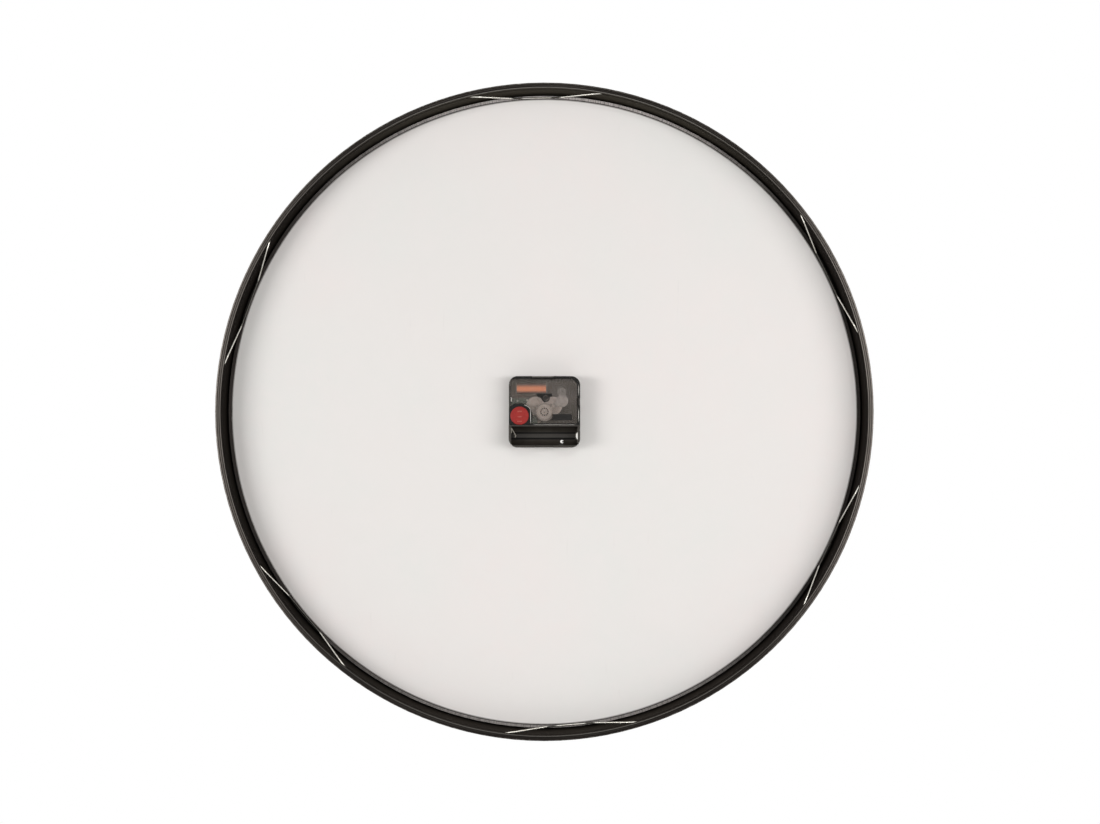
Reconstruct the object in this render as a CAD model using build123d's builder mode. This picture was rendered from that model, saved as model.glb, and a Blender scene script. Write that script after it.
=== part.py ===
from build123d import *
from math import acos, atan2, cos, degrees, hypot, pi, radians, sin, sqrt, tan
import os

# Round battery wall clock. X points right seen from the dial side, Y from the dial to the wall, Z to twelve
# o'clock. The origin lies on the hand axis in the plane of the wall. Millimetres and degrees.

# Rim, a black hoop with a lip at the front and a groove under its back edge
rim_diameter = 514.0
rim_depth = 46.0
rim_wall = 4.4
rim_back_round = 0.8
rim_front_round = 3.0
front_lip_thickness = 2.0
front_lip_reach = 8.0
lip_line_count = 3
lip_line_width = 0.45
lip_line_depth = 0.25
groove_below_back = 2.5
groove_height = 2.4
groove_depth = 2.4

# Glass, dial ring, board and dial sheet stacked in the rim
glass_thickness = 3.0
glass_clearance = 0.8
glass_edge_chamfer = 0.5
ring_clearance = 1.8
ring_collar = 2.4
ring_inner_step = 4.4
board_thickness = 3.0
board_depth = 22.0
board_clearance = 0.1
collar_above_board = 0.4
dial_sheet_thickness = 0.3
bush_hole_clearance = 0.3

# Applied hour batons on the dial
marker_edge_gap = 15.0
marker_length = 34.0
marker_width = 7.0
marker_thickness = 1.0
marker_corner = 1.0

# Spring wires: directions seen from behind, anticlockwise from the right
clip_directions = (91.5, 159.8, 220.1, 274.8, 335.1, 25.9)
clip_wire_diameter = 1.4
clip_gap = 0.1
clip_bend_angle = 4.2
clip_leg_angle = 10.2
clip_foot_angle = 12.3
clip_foot_depth = 3.7
clip_middle_inset = 1.0
clip_leg_clearance = 0.3
clip_foot_reach = 1.4
clip_bend_radius = 2.5

# Movement case, a square tray with a battery bay and a smoke cover over the gear train
case_side = 56.0
case_depth = 16.0
case_corner = 7.0
case_wall = 1.3
case_floor = 1.5
case_wall_height = 9.0
cover_top = 1.2
cover_gap = 0.1
bay_radius = 7.5
bay_axis = -18.9
bay_floor = 1.2
bay_length = 52.4
bay_flat_width = 4.4
bay_flat_depth = 0.4
bay_divider = 1.0
finger_notch_left = -7.6
finger_notch_right = 6.6
finger_notch_height = 6.0
finger_notch_reach = 3.6
latch_play = 0.3
latch_thickness = 1.2
latch_notch_depth = 2.6
latch_height = 6.0
top_latch_center = -1.3
top_latch_width = 17.4
right_latch_center = 7.9
right_latch_width = 6.0
left_latch_center = 9.4
left_latch_width = 5.0
label_left = 6.0
label_width = 15.4
label_top = -1.8
label_height = 4.8
label_depth = 0.3
dash_ring_radius = 2.8
dash_count = 12
dash_length = 0.9
dash_width = 0.35
dash_depth = 0.25

# Hand setting knob in its well
knob_at = (-19.5, -3.1)
knob_radius = 7.2
knob_low = 11.4
knob_high = 15.2
knob_edge_round = 0.6
knob_stem_radius = 1.5
knob_pivot_radius = 0.8
knob_mark_length = 3.6
knob_mark_width = 1.1
knob_mark_height = 0.4
knob_mark_heights = (3.4, -0.7, -4.4)
well_radius = 9.4
well_wall = 1.0
well_low = 9.8
well_floor = 0.8

# Gear train. Heights run from the back of the dial board towards the wall.
pressure_angle = 25.0
tip_height = 0.8
root_height = 1.05
tooth_play = 0.2
rotor_at = (1.0, 10.7)
third_direction = 147.2
rotor_distance = 8.4
intermediate_distance = 8.3
third_distance = 8.4
motion_distance = 8.4
rotor_pinion_teeth = 10
intermediate_wheel_teeth = 60
intermediate_pinion_teeth = 12
second_wheel_teeth = 60
second_pinion_teeth = 10
third_wheel_teeth = 75
third_pinion_teeth = 10
minute_wheel_teeth = 80
minute_pinion_teeth = 15
reverse_wheel_teeth = 45
reverse_pinion_teeth = 12
hour_wheel_teeth = 48
knob_gear_teeth = 40
hour_wheel_low = 1.8
hour_wheel_thickness = 1.0
reverse_wheel_low = 3.3
reverse_wheel_thickness = 1.0
minute_wheel_low = 5.0
minute_wheel_thickness = 1.0
third_wheel_low = 7.0
third_wheel_thickness = 1.0
intermediate_wheel_low = 8.5
intermediate_wheel_thickness = 0.7
bridge_low = 9.7
bridge_thickness = 1.0
second_wheel_low = 11.2
second_wheel_thickness = 1.0
pinion_overlap = 0.1

# Arbors, pivots and bearings
running_play = 0.05
pivot_radius = 0.3
pivot_length = 1.4
shoulder_play = 0.2
thin_arbor_radius = 0.4
arbor_radius = 0.6
boss_wall = 0.7
boss_top = 4.4
rotor_boss_top = 2.2
blind_floor = 0.7
reverse_stud_radius = 0.5
second_arbor_radius = 0.45
second_arbor_front = -17.0
second_hub_radius = 1.6
minute_tube_radius = 1.675
minute_tube_front = -14.0
hour_tube_radius = 2.5
hour_tube_front = -11.0
bush_radius = 4.0
bush_front = -7.6
bush_chamfer = 0.5
washer_radius = 7.5
washer_thickness = 0.5
nut_width = 11.0
nut_thickness = 2.2

# Bridge that steadies the centre and intermediate arbors
bridge_arm = 3.6
bridge_right_post = (16.2, 9.2)
bridge_top_post = (14.2, 16.2)
bridge_right_lobe = (13.9, 8.5, 4.8)
bridge_top_lobe = (13.6, 15.6, 3.6)
post_radius = 1.2
peg_radius = 0.7
peg_height = 1.3

# Motor
magnet_radius = 2.6
magnet_low = 2.6
magnet_high = 4.8
stator_low = 3.3
stator_thickness = 0.8
stator_hole_gap = 0.3
stator_rim = 1.6
stator_left = -25.8
stator_arm = 2.8
stator_arm_top = 20.8
stator_bar_low = 11.4
stator_bar_high = 14.0
stator_right = 6.0
stator_notch_radius = 0.4
coil_left = -21.8
coil_right = 1.2
coil_height = 18.9
coil_width = 8.5
coil_thickness = 6.0
coil_round = 2.6
flange_thickness = 1.0
flange_margin = 0.5
core_width = 3.4
core_thickness = 1.2
core_left = -25.4
core_right = 5.4
bobbin_wall = 0.5
bobbin_play = 0.05

# Circuit board with its chip and crystal
board_low = 5.2
circuit_thickness = 1.0
circuit_left = -26.2
circuit_right = -5.4
circuit_step = -9.4
circuit_low = -9.4
circuit_high = 10.6
circuit_tongue_high = -3.6
circuit_gear_gap = 0.6
circuit_posts = ((-24.4, 8.6), (-24.4, -8.9))
chip_at = (-12.8, -6.8)
chip_radius = 1.9
chip_height = 1.2
crystal_at = (-24.0, -2.6)
crystal_radius = 1.0
crystal_length = 6.0

# Battery contacts
contact_thickness = 0.45
contact_gap = 0.05
contact_low = 5.2
contact_high = 12.6
leaf_bulge = 3.4
leaf_half_span = 6.2
leaf_fold = 0.8
leaf_foot = 4.0
leaf_curl = 0.7
leaf_curl_length = 1.4
plate_half_width = 5.6
plate_high = 14.6
plate_tab_width = 5.2
plate_tab_reach = 1.2
plate_button_radius = 2.6
plate_button_height = 0.5
rivet_at = (13.8, -23.7)
rivet_head_radius = 1.5
rivet_shank_radius = 0.7
rivet_seat = 1.9
rivet_head_height = 0.45
rivet_recess_gap = 0.2

# Hands, at rest shortly before ten past ten
hour_hand_angle = 304.79
minute_hand_angle = 57.5
second_hand_angle = 210.0
hour_hand_length = 128.0
hour_hand_tail = 30.0
hour_hand_root = 12.0
hour_hand_tip = 8.0
minute_hand_length = 190.0
minute_hand_tail = 34.0
minute_hand_root = 9.0
minute_hand_tip = 5.5
second_hand_length = 200.0
second_hand_tail = 62.0
second_hand_root = 2.6
second_hand_tip = 1.4
hand_thickness = 0.6
hour_hub_radius = 9.5
minute_hub_radius = 7.5
second_hub_disc = 5.0
second_weight_radius = 7.0
collar_wall = 1.4
collar_length = 2.4
collar_setback = 0.2

# Sizes that follow from the ones above
rim_radius = rim_diameter / 2
rim_inner = rim_radius - rim_wall
front_opening = rim_inner - front_lip_reach
glass_back = -rim_depth + front_lip_thickness + glass_thickness
ring_outer = rim_inner - ring_clearance
ring_seat = ring_outer - ring_collar
ring_inner = ring_seat - ring_inner_step
marker_ring_radius = ring_inner - marker_edge_gap - marker_length / 2
ring_back = -board_depth + collar_above_board
ring_ledge = -board_depth - board_thickness - dial_sheet_thickness
board_radius = ring_seat - board_clearance
dial_front = -board_thickness - dial_sheet_thickness
inner_side = case_side - 2 * case_wall
half_case = case_side / 2
bay_center = bay_floor + bay_radius
divider_inner = bay_axis + bay_radius + bay_divider
cover_low_edge = divider_inner + cover_gap
cover_inside = case_depth - cover_top
rotor_module = 2 * rotor_distance / (rotor_pinion_teeth + intermediate_wheel_teeth)
second_module = 2 * intermediate_distance / (intermediate_pinion_teeth + second_wheel_teeth)
third_module = 2 * third_distance / (second_pinion_teeth + third_wheel_teeth)
minute_module = 2 * third_distance / (third_pinion_teeth + minute_wheel_teeth)
motion_module = 2 * motion_distance / (minute_pinion_teeth + reverse_wheel_teeth)
hour_module = 2 * motion_distance / (reverse_pinion_teeth + hour_wheel_teeth)
knob_distance = motion_module * (reverse_wheel_teeth + knob_gear_teeth) / 2
center = (0.0, 0.0)


def meeting_point(first, first_distance, second, second_distance, side):
    """Point at given distances from two others, on the left (1) or right (-1) of the line between them."""
    span = hypot(second[0] - first[0], second[1] - first[1])
    along = (first_distance**2 - second_distance**2 + span**2) / (2 * span)
    across = side * sqrt(max(first_distance**2 - along**2, 0.0))
    ahead = ((second[0] - first[0]) / span, (second[1] - first[1]) / span)
    return (
        first[0] + along * ahead[0] - across * ahead[1],
        first[1] + along * ahead[1] + across * ahead[0],
    )


def polar(radius, angle):
    """Point at a radius and an angle in degrees."""
    return (radius * cos(radians(angle)), radius * sin(radians(angle)))


third_at = polar(third_distance, third_direction)
intermediate_at = meeting_point(center, intermediate_distance, rotor_at, rotor_distance, -1)
reverse_at = meeting_point(center, motion_distance, knob_at, knob_distance, 1)


def back_view(depth):
    """Plane seen from the wall side at a place along Y: local x to the viewer's right, local y up."""
    return Plane(origin=(0, depth, 0), x_dir=(-1, 0, 0), z_dir=(0, 1, 0))


def level(height):
    """Back view plane at a height above the back of the dial board."""
    return back_view(height - board_depth)


def end_view(place):
    """Plane across the movement at a place to the right in the back view: local x up, local y to the wall."""
    return Plane(origin=(-place, -board_depth, 0), x_dir=(0, 0, 1), z_dir=(-1, 0, 0))


def disc(at, radius, low, high, mode=Mode.ADD):
    """Cylinder between two heights of the movement."""
    with BuildSketch(level(low)) as outline:
        with Locations(at):
            Circle(radius)
    extrude(outline.sketch, amount=high - low, mode=mode)


def block(left, right, bottom, top, low, high, mode=Mode.ADD):
    """Box between two heights of the movement, its sides given in the back view."""
    with BuildSketch(level(low)) as outline:
        with Locations(((left + right) / 2, (bottom + top) / 2)):
            Rectangle(right - left, top - bottom)
    extrude(outline.sketch, amount=high - low, mode=mode)


def involute(angle):
    """Involute function of an angle in radians."""
    return tan(angle) - angle


def tooth_points(teeth, module, phase, at):
    """Outline of a gear with involute flanks, one tooth centred on the phase angle in radians."""
    pitch_radius = teeth * module / 2
    base_radius = pitch_radius * cos(radians(pressure_angle))
    root_radius = pitch_radius - root_height * module
    tip_radius = pitch_radius + tip_height * module
    start_radius = max(base_radius, root_radius)
    steps = 4 if teeth < 20 else 2
    half_at_pitch = (pi / 2 - tooth_play / 2) / teeth

    def half_angle(radius):
        return half_at_pitch + involute(radians(pressure_angle)) - involute(acos(base_radius / radius))

    flank = [start_radius + (tip_radius - start_radius) * i / steps for i in range(steps + 1)]
    profile = [(radius, -half_angle(radius)) for radius in flank]
    if root_radius < start_radius:
        profile.insert(0, (root_radius, -half_angle(start_radius)))
    profile += [(radius, -angle) for radius, angle in reversed(profile)]
    points = []
    for tooth in range(teeth):
        middle = phase + 2 * pi * tooth / teeth
        for radius, angle in profile:
            points.append((at[0] + radius * cos(middle + angle), at[1] + radius * sin(middle + angle)))
    return points


def gear(at, teeth, module, phase, low, high):
    """Toothed disc between two heights of the movement."""
    with BuildSketch(level(low)) as outline:
        with BuildLine():
            Polyline(*tooth_points(teeth, module, phase, at), close=True)
        make_face()
    extrude(outline.sketch, amount=high - low)


def meshing_phase(driver_at, driver_teeth, driver_phase, mate_at, mate_teeth):
    """Phase of a gear whose gap takes the tooth of its driver."""
    towards = atan2(mate_at[1] - driver_at[1], mate_at[0] - driver_at[0])
    turned = driver_phase - towards
    return towards + pi + pi / mate_teeth - turned * driver_teeth / mate_teeth


def write_piece(builder, name):
    """Label a finished piece and write its solid."""
    builder.part.label = name
    export_step(builder.part, f"parts/{name}.step")


os.makedirs("parts", exist_ok=True)

# Rim
with BuildPart() as rim:
    with BuildSketch(Plane.XY) as rim_section:
        with BuildLine():
            Polyline(
                (rim_radius, 0),
                (rim_inner, 0),
                (rim_inner, -groove_below_back),
                (rim_inner + groove_depth, -groove_below_back),
                (rim_inner + groove_depth, -groove_below_back - groove_height),
                (rim_inner, -groove_below_back - groove_height),
                (rim_inner, -rim_depth + front_lip_thickness),
                (front_opening, -rim_depth + front_lip_thickness),
                (front_opening, -rim_depth),
                (rim_radius, -rim_depth),
                close=True,
            )
        make_face()
        outer_corners = rim_section.vertices().sort_by(Axis.X)[-2:].sort_by(Axis.Y)
        fillet(outer_corners[0], rim_front_round)
        back_corner = rim_section.vertices().filter_by(lambda v: abs(v.Y) < 1e-6).sort_by(Axis.X)[-1]
        fillet(back_corner, rim_back_round)
        lip_inner = rim_section.vertices().filter_by(lambda v: abs(v.Y) < 1e-6).sort_by(Axis.X)[0]
        chamfer(lip_inner, rim_back_round / 2)
        line_pitch = (rim_wall - 1.5 * rim_back_round) / (lip_line_count + 1)
        for line in range(lip_line_count):
            line_radius = rim_inner + rim_back_round / 2 + line_pitch * (line + 1)
            with BuildLine():
                Polyline(
                    (line_radius - lip_line_width / 2, 0),
                    (line_radius, -lip_line_depth),
                    (line_radius + lip_line_width / 2, 0),
                    close=True,
                )
            make_face(mode=Mode.SUBTRACT)
    revolve(axis=Axis.Y)
write_piece(rim, "rim")

# Glass
with BuildPart() as front_glass:
    with BuildSketch(back_view(glass_back - glass_thickness)):
        Circle(rim_inner - glass_clearance)
    extrude(amount=glass_thickness)
    chamfer(front_glass.edges().filter_by(GeomType.CIRCLE), glass_edge_chamfer)
write_piece(front_glass, "front_glass")

# Dial ring: spaces the dial from the glass and takes the board in its back
with BuildPart() as dial_ring:
    with BuildSketch(Plane.XY):
        with BuildLine():
            Polyline(
                (ring_inner, glass_back),
                (ring_outer, glass_back),
                (ring_outer, ring_back),
                (ring_seat, ring_back),
                (ring_seat, ring_ledge),
                (ring_inner, ring_ledge),
                close=True,
            )
        make_face()
    revolve(axis=Axis.Y)
write_piece(dial_ring, "dial_ring")

# Board and dial sheet
with BuildPart() as dial_board:
    with BuildSketch(level(-board_thickness)):
        Circle(board_radius)
        Circle(bush_radius + bush_hole_clearance, mode=Mode.SUBTRACT)
    extrude(amount=board_thickness)
write_piece(dial_board, "dial_board")

with BuildPart() as dial_face:
    with BuildSketch(level(dial_front)):
        Circle(board_radius)
        Circle(bush_radius + bush_hole_clearance, mode=Mode.SUBTRACT)
    extrude(amount=dial_sheet_thickness)
write_piece(dial_face, "dial_face")

with BuildPart() as hour_markers:
    with BuildSketch(level(dial_front - marker_thickness)):
        with PolarLocations(marker_ring_radius, 12):
            RectangleRounded(marker_length, marker_width, marker_corner)
    extrude(amount=marker_thickness)
write_piece(hour_markers, "hour_markers")

# Spring wires: the middle presses on the ring, the legs rise to the groove under the rim's back edge
clip_wire_radius = clip_wire_diameter / 2
clip_middle_y = ring_back + clip_gap + clip_wire_radius
clip_stations = (
    (-clip_foot_angle, rim_inner + clip_foot_reach, -clip_foot_depth),
    (-clip_leg_angle, rim_inner - clip_wire_radius - clip_leg_clearance, -clip_foot_depth),
    (-clip_bend_angle, ring_outer - clip_middle_inset, clip_middle_y),
    (clip_bend_angle, ring_outer - clip_middle_inset, clip_middle_y),
    (clip_leg_angle, rim_inner - clip_wire_radius - clip_leg_clearance, -clip_foot_depth),
    (clip_foot_angle, rim_inner + clip_foot_reach, -clip_foot_depth),
)
for number, direction in enumerate(clip_directions, start=1):
    clip_points = []
    for offset, radius, depth in clip_stations:
        across, up = polar(radius, direction + offset)
        clip_points.append((-across, depth, up))
    with BuildPart() as wire_clip:
        with BuildLine() as clip_path:
            FilletPolyline(*clip_points, radius=clip_bend_radius)
        with BuildSketch(Plane(origin=clip_path.line @ 0, z_dir=clip_path.line % 0)):
            Circle(clip_wire_radius)
        sweep()
    write_piece(wire_clip, f"wire_clip_{number}")

# Movement base: tray, battery bay, bearings and posts
bearing_radius = pivot_radius + running_play
boss_radius = bearing_radius + boss_wall
with BuildPart() as movement_base:
    with BuildSketch(level(0)):
        RectangleRounded(case_side, case_side, case_corner)
    extrude(amount=case_depth)
    with BuildSketch(level(case_floor)):
        RectangleRounded(inner_side, inner_side, case_corner - case_wall)
        with Locations((0, (divider_inner - case_side) / 2)):
            Rectangle(case_side, divider_inner + case_side, mode=Mode.SUBTRACT)
    extrude(amount=case_depth, mode=Mode.SUBTRACT)
    block(
        -case_side, case_side, divider_inner, case_side,
        case_wall_height, 2 * case_depth, mode=Mode.SUBTRACT,
    )
    with BuildSketch(end_view(-bay_length / 2)):
        with Locations((bay_axis, bay_center)):
            Circle(bay_radius)
        with Locations((bay_axis, bay_center + case_depth / 2)):
            Rectangle(2 * bay_radius, case_depth)
        with Locations((bay_axis, bay_floor - bay_flat_depth + bay_radius / 2)):
            Rectangle(bay_flat_width, bay_radius)
    extrude(amount=bay_length, mode=Mode.SUBTRACT)
    block(
        finger_notch_left, finger_notch_right, -case_side, finger_notch_reach - half_case,
        case_depth - finger_notch_height, 2 * case_depth, mode=Mode.SUBTRACT,
    )
    # Latch tongues that hold the cover
    latch_outer = half_case - (case_wall - latch_thickness)
    latch_inner = latch_outer - latch_thickness
    block(
        top_latch_center - top_latch_width / 2 + latch_play, top_latch_center + top_latch_width / 2 - latch_play,
        latch_inner, latch_outer, case_wall_height, case_wall_height + latch_height,
    )
    block(
        latch_inner, latch_outer,
        right_latch_center - right_latch_width / 2 + latch_play,
        right_latch_center + right_latch_width / 2 - latch_play,
        case_wall_height, case_wall_height + latch_height,
    )
    block(
        -latch_outer, -latch_inner,
        left_latch_center - left_latch_width / 2 + latch_play,
        left_latch_center + left_latch_width / 2 - latch_play,
        case_wall_height, case_wall_height + latch_height,
    )
    # Bearings, stud and posts on the floor
    disc(rotor_at, boss_radius, case_floor, rotor_boss_top)
    disc(intermediate_at, boss_radius, case_floor, boss_top)
    disc(third_at, boss_radius, case_floor, boss_top)
    disc(reverse_at, reverse_stud_radius, case_floor, reverse_wheel_low + reverse_wheel_thickness + shoulder_play)
    for post in (bridge_right_post, bridge_top_post):
        disc(post, post_radius, case_floor, bridge_low)
        disc(post, peg_radius, bridge_low, bridge_low + peg_height)
    for post in circuit_posts:
        disc(post, post_radius, case_floor, board_low)
        disc(post, peg_radius, board_low, board_low + peg_height)
    disc(rotor_at, bearing_radius, blind_floor, rotor_boss_top, mode=Mode.SUBTRACT)
    disc(intermediate_at, bearing_radius, boss_top - pivot_length, boss_top, mode=Mode.SUBTRACT)
    disc(third_at, bearing_radius, boss_top - pivot_length, boss_top, mode=Mode.SUBTRACT)
    disc(knob_at, knob_pivot_radius + running_play, blind_floor, case_floor, mode=Mode.SUBTRACT)
    disc(center, bush_radius, 0, case_floor, mode=Mode.SUBTRACT)
    # Seat of the small rivet in the side of the bay
    disc(rivet_at, rivet_head_radius + rivet_recess_gap, rivet_seat, bay_center, mode=Mode.SUBTRACT)
    disc(rivet_at, rivet_shank_radius, blind_floor, rivet_seat, mode=Mode.SUBTRACT)
write_piece(movement_base, "movement_base")

# Movement cover: a cap over the gear train with the knob well let into it
with BuildPart() as movement_cover:
    with BuildSketch(level(case_wall_height)):
        RectangleRounded(case_side, case_side, case_corner)
        with Locations((0, (cover_low_edge - case_side) / 2)):
            Rectangle(case_side, cover_low_edge + case_side, mode=Mode.SUBTRACT)
    extrude(amount=case_depth - case_wall_height)
    with BuildSketch(level(case_wall_height)):
        RectangleRounded(inner_side, inner_side, case_corner - case_wall)
        with Locations((0, (cover_low_edge + case_wall - case_side) / 2)):
            Rectangle(case_side, cover_low_edge + case_wall + case_side, mode=Mode.SUBTRACT)
    extrude(amount=cover_inside - case_wall_height, mode=Mode.SUBTRACT)
    with BuildSketch(level(well_low)):
        with Locations(knob_at):
            Circle(well_radius + well_wall)
        with Locations((knob_at[0] + (well_radius + well_wall - case_side) / 2, knob_at[1] - case_side / 2)):
            Rectangle(well_radius + well_wall + case_side, case_side)
        with Locations((knob_at[0] - case_side / 2, knob_at[1] + (well_radius + well_wall) / 2)):
            Rectangle(case_side, well_radius + well_wall)
        with Locations((-half_case - case_side, 0)):
            Rectangle(2 * case_side, 4 * case_side, mode=Mode.SUBTRACT)
        with Locations((0, cover_low_edge - case_side)):
            Rectangle(4 * case_side, 2 * case_side, mode=Mode.SUBTRACT)
    extrude(amount=cover_inside - well_low)
    with BuildSketch(level(well_low + well_floor)):
        with Locations(knob_at):
            Circle(well_radius)
        with Locations((knob_at[0] + (well_radius - case_side) / 2, knob_at[1] - case_side / 2)):
            Rectangle(well_radius + case_side, case_side)
        with Locations((knob_at[0] - case_side / 2, knob_at[1] + well_radius / 2)):
            Rectangle(case_side, well_radius)
    extrude(amount=case_depth, mode=Mode.SUBTRACT)
    disc(knob_at, knob_stem_radius + 2 * running_play, 0, case_depth, mode=Mode.SUBTRACT)
    # Upper bearings of the four arbors
    cover_bearing_low = second_wheel_low + second_wheel_thickness + pinion_overlap + shoulder_play
    cover_bearing_high = cover_bearing_low + pivot_length
    for bearing in (center, intermediate_at, rotor_at, third_at):
        disc(bearing, boss_radius, cover_bearing_low, cover_inside)
        disc(bearing, bearing_radius, cover_bearing_low, cover_bearing_high, mode=Mode.SUBTRACT)
    # Latch notches, plain label panel and the ring of dashes over the centre
    block(
        top_latch_center - top_latch_width / 2, top_latch_center + top_latch_width / 2,
        half_case - latch_notch_depth, case_side, 0, 2 * case_depth, mode=Mode.SUBTRACT,
    )
    block(
        half_case - latch_notch_depth, case_side,
        right_latch_center - right_latch_width / 2, right_latch_center + right_latch_width / 2,
        0, 2 * case_depth, mode=Mode.SUBTRACT,
    )
    block(
        -case_side, latch_notch_depth - half_case,
        left_latch_center - left_latch_width / 2, left_latch_center + left_latch_width / 2,
        0, 2 * case_depth, mode=Mode.SUBTRACT,
    )
    block(
        label_left, label_left + label_width, label_top - label_height, label_top,
        case_depth - label_depth, 2 * case_depth, mode=Mode.SUBTRACT,
    )
    with BuildSketch(level(case_depth - dash_depth)):
        with PolarLocations(dash_ring_radius, dash_count):
            Rectangle(dash_width, dash_length)
    extrude(amount=case_depth, mode=Mode.SUBTRACT)
write_piece(movement_cover, "movement_cover")

# Bush, washer and nut that clamp the movement to the board
with BuildPart() as threaded_bush:
    disc(center, bush_radius, bush_front, case_floor)
    front_edge = threaded_bush.edges().filter_by(GeomType.CIRCLE).sort_by(Axis.Y)[0]
    chamfer(front_edge, bush_chamfer)
    disc(center, hour_tube_radius + running_play, bush_front, case_floor, mode=Mode.SUBTRACT)
write_piece(threaded_bush, "threaded_bush")

with BuildPart() as dial_washer:
    disc(center, washer_radius, dial_front - washer_thickness, dial_front)
    disc(
        center, bush_radius + bush_hole_clearance, dial_front - washer_thickness, dial_front,
        mode=Mode.SUBTRACT,
    )
write_piece(dial_washer, "dial_washer")

nut_back = dial_front - washer_thickness
with BuildPart() as dial_nut:
    with BuildSketch(level(nut_back - nut_thickness)):
        RegularPolygon(nut_width / 2, 6, major_radius=False)
        Circle(bush_radius, mode=Mode.SUBTRACT)
    extrude(amount=nut_thickness)
write_piece(dial_nut, "dial_nut")

# Circuit board with chip and crystal
minute_tip_radius = minute_module * (minute_wheel_teeth / 2 + tip_height)
circuit_top = board_low + circuit_thickness
with BuildPart() as circuit_board:
    block(circuit_left, circuit_step, circuit_low, circuit_high, board_low, circuit_top)
    block(circuit_step, circuit_right, circuit_low, circuit_tongue_high, board_low, circuit_top)
    disc(center, minute_tip_radius + circuit_gear_gap, board_low, circuit_top, mode=Mode.SUBTRACT)
    disc(knob_at, knob_stem_radius + 6 * running_play, board_low, circuit_top, mode=Mode.SUBTRACT)
    for post in circuit_posts:
        disc(post, peg_radius, board_low, circuit_top, mode=Mode.SUBTRACT)
write_piece(circuit_board, "circuit_board")

with BuildPart() as control_chip:
    disc(chip_at, chip_radius, circuit_top, circuit_top + chip_height)
    top_edge = control_chip.edges().filter_by(GeomType.CIRCLE).sort_by(Axis.Y)[-1]
    fillet(top_edge, chip_height * 0.8)
write_piece(control_chip, "control_chip")

with BuildPart() as quartz_crystal:
    crystal_center = circuit_top + crystal_radius - board_depth
    with BuildSketch(Plane(origin=(-crystal_at[0], crystal_center, crystal_at[1] - crystal_length / 2))):
        Circle(crystal_radius)
    extrude(amount=crystal_length)
    fillet(quartz_crystal.edges().filter_by(GeomType.CIRCLE), crystal_radius / 4)
write_piece(quartz_crystal, "quartz_crystal")

# Motor: core bar through the coil, resting on the stator that surrounds the magnet
stator_top = stator_low + stator_thickness
core_center = stator_top + core_thickness / 2
bobbin_width = core_width + 2 * bobbin_play + 2 * bobbin_wall
bobbin_thickness = core_thickness + 2 * bobbin_play + 2 * bobbin_wall
with BuildPart() as coil_bobbin:
    with BuildSketch(end_view(coil_left - flange_thickness)):
        with Locations((coil_height, core_center)):
            Rectangle(coil_width + flange_margin, coil_thickness)
    extrude(amount=flange_thickness)
    with BuildSketch(end_view(coil_left)):
        with Locations((coil_height, core_center)):
            Rectangle(bobbin_width, bobbin_thickness)
    extrude(amount=coil_right - coil_left)
    with BuildSketch(end_view(coil_right)):
        with Locations((coil_height, core_center)):
            Rectangle(coil_width + flange_margin, coil_thickness)
    extrude(amount=flange_thickness)
    with BuildSketch(end_view(coil_left - flange_thickness)):
        with Locations((coil_height, core_center)):
            Rectangle(core_width + 2 * bobbin_play, core_thickness + 2 * bobbin_play)
    extrude(amount=coil_right - coil_left + 2 * flange_thickness, mode=Mode.SUBTRACT)
write_piece(coil_bobbin, "coil_bobbin")

with BuildPart() as coil_winding:
    with BuildSketch(end_view(coil_left)):
        with Locations((coil_height, core_center)):
            RectangleRounded(coil_width, coil_thickness, coil_round)
            Rectangle(bobbin_width, bobbin_thickness, mode=Mode.SUBTRACT)
    extrude(amount=coil_right - coil_left)
write_piece(coil_winding, "coil_winding")

with BuildPart() as coil_core:
    block(
        core_left, core_right, coil_height - core_width / 2, coil_height + core_width / 2,
        stator_top, stator_top + core_thickness,
    )
write_piece(coil_core, "coil_core")

stator_hole = magnet_radius + stator_hole_gap
with BuildPart() as stator:
    block(stator_left, stator_left + stator_arm, stator_bar_low, stator_arm_top, stator_low, stator_top)
    block(stator_left, rotor_at[0], stator_bar_low, stator_bar_high, stator_low, stator_top)
    disc(rotor_at, stator_hole + stator_rim, stator_low, stator_top)
    block(
        -case_side, case_side, stator_bar_high, rotor_at[1] + 2 * stator_hole,
        0, case_depth, mode=Mode.SUBTRACT,
    )
    block(stator_left, stator_left + stator_arm, stator_bar_low, stator_arm_top, stator_low, stator_top)
    block(
        stator_right - stator_arm, stator_right, rotor_at[1] - stator_rim, stator_arm_top,
        stator_low, stator_top,
    )
    disc(rotor_at, stator_hole, stator_low, stator_top, mode=Mode.SUBTRACT)
    for turn in (45, 225):
        notch = polar(stator_hole, turn)
        disc(
            (rotor_at[0] + notch[0], rotor_at[1] + notch[1]), stator_notch_radius, stator_low, stator_top,
            mode=Mode.SUBTRACT,
        )
write_piece(stator, "stator")

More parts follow.
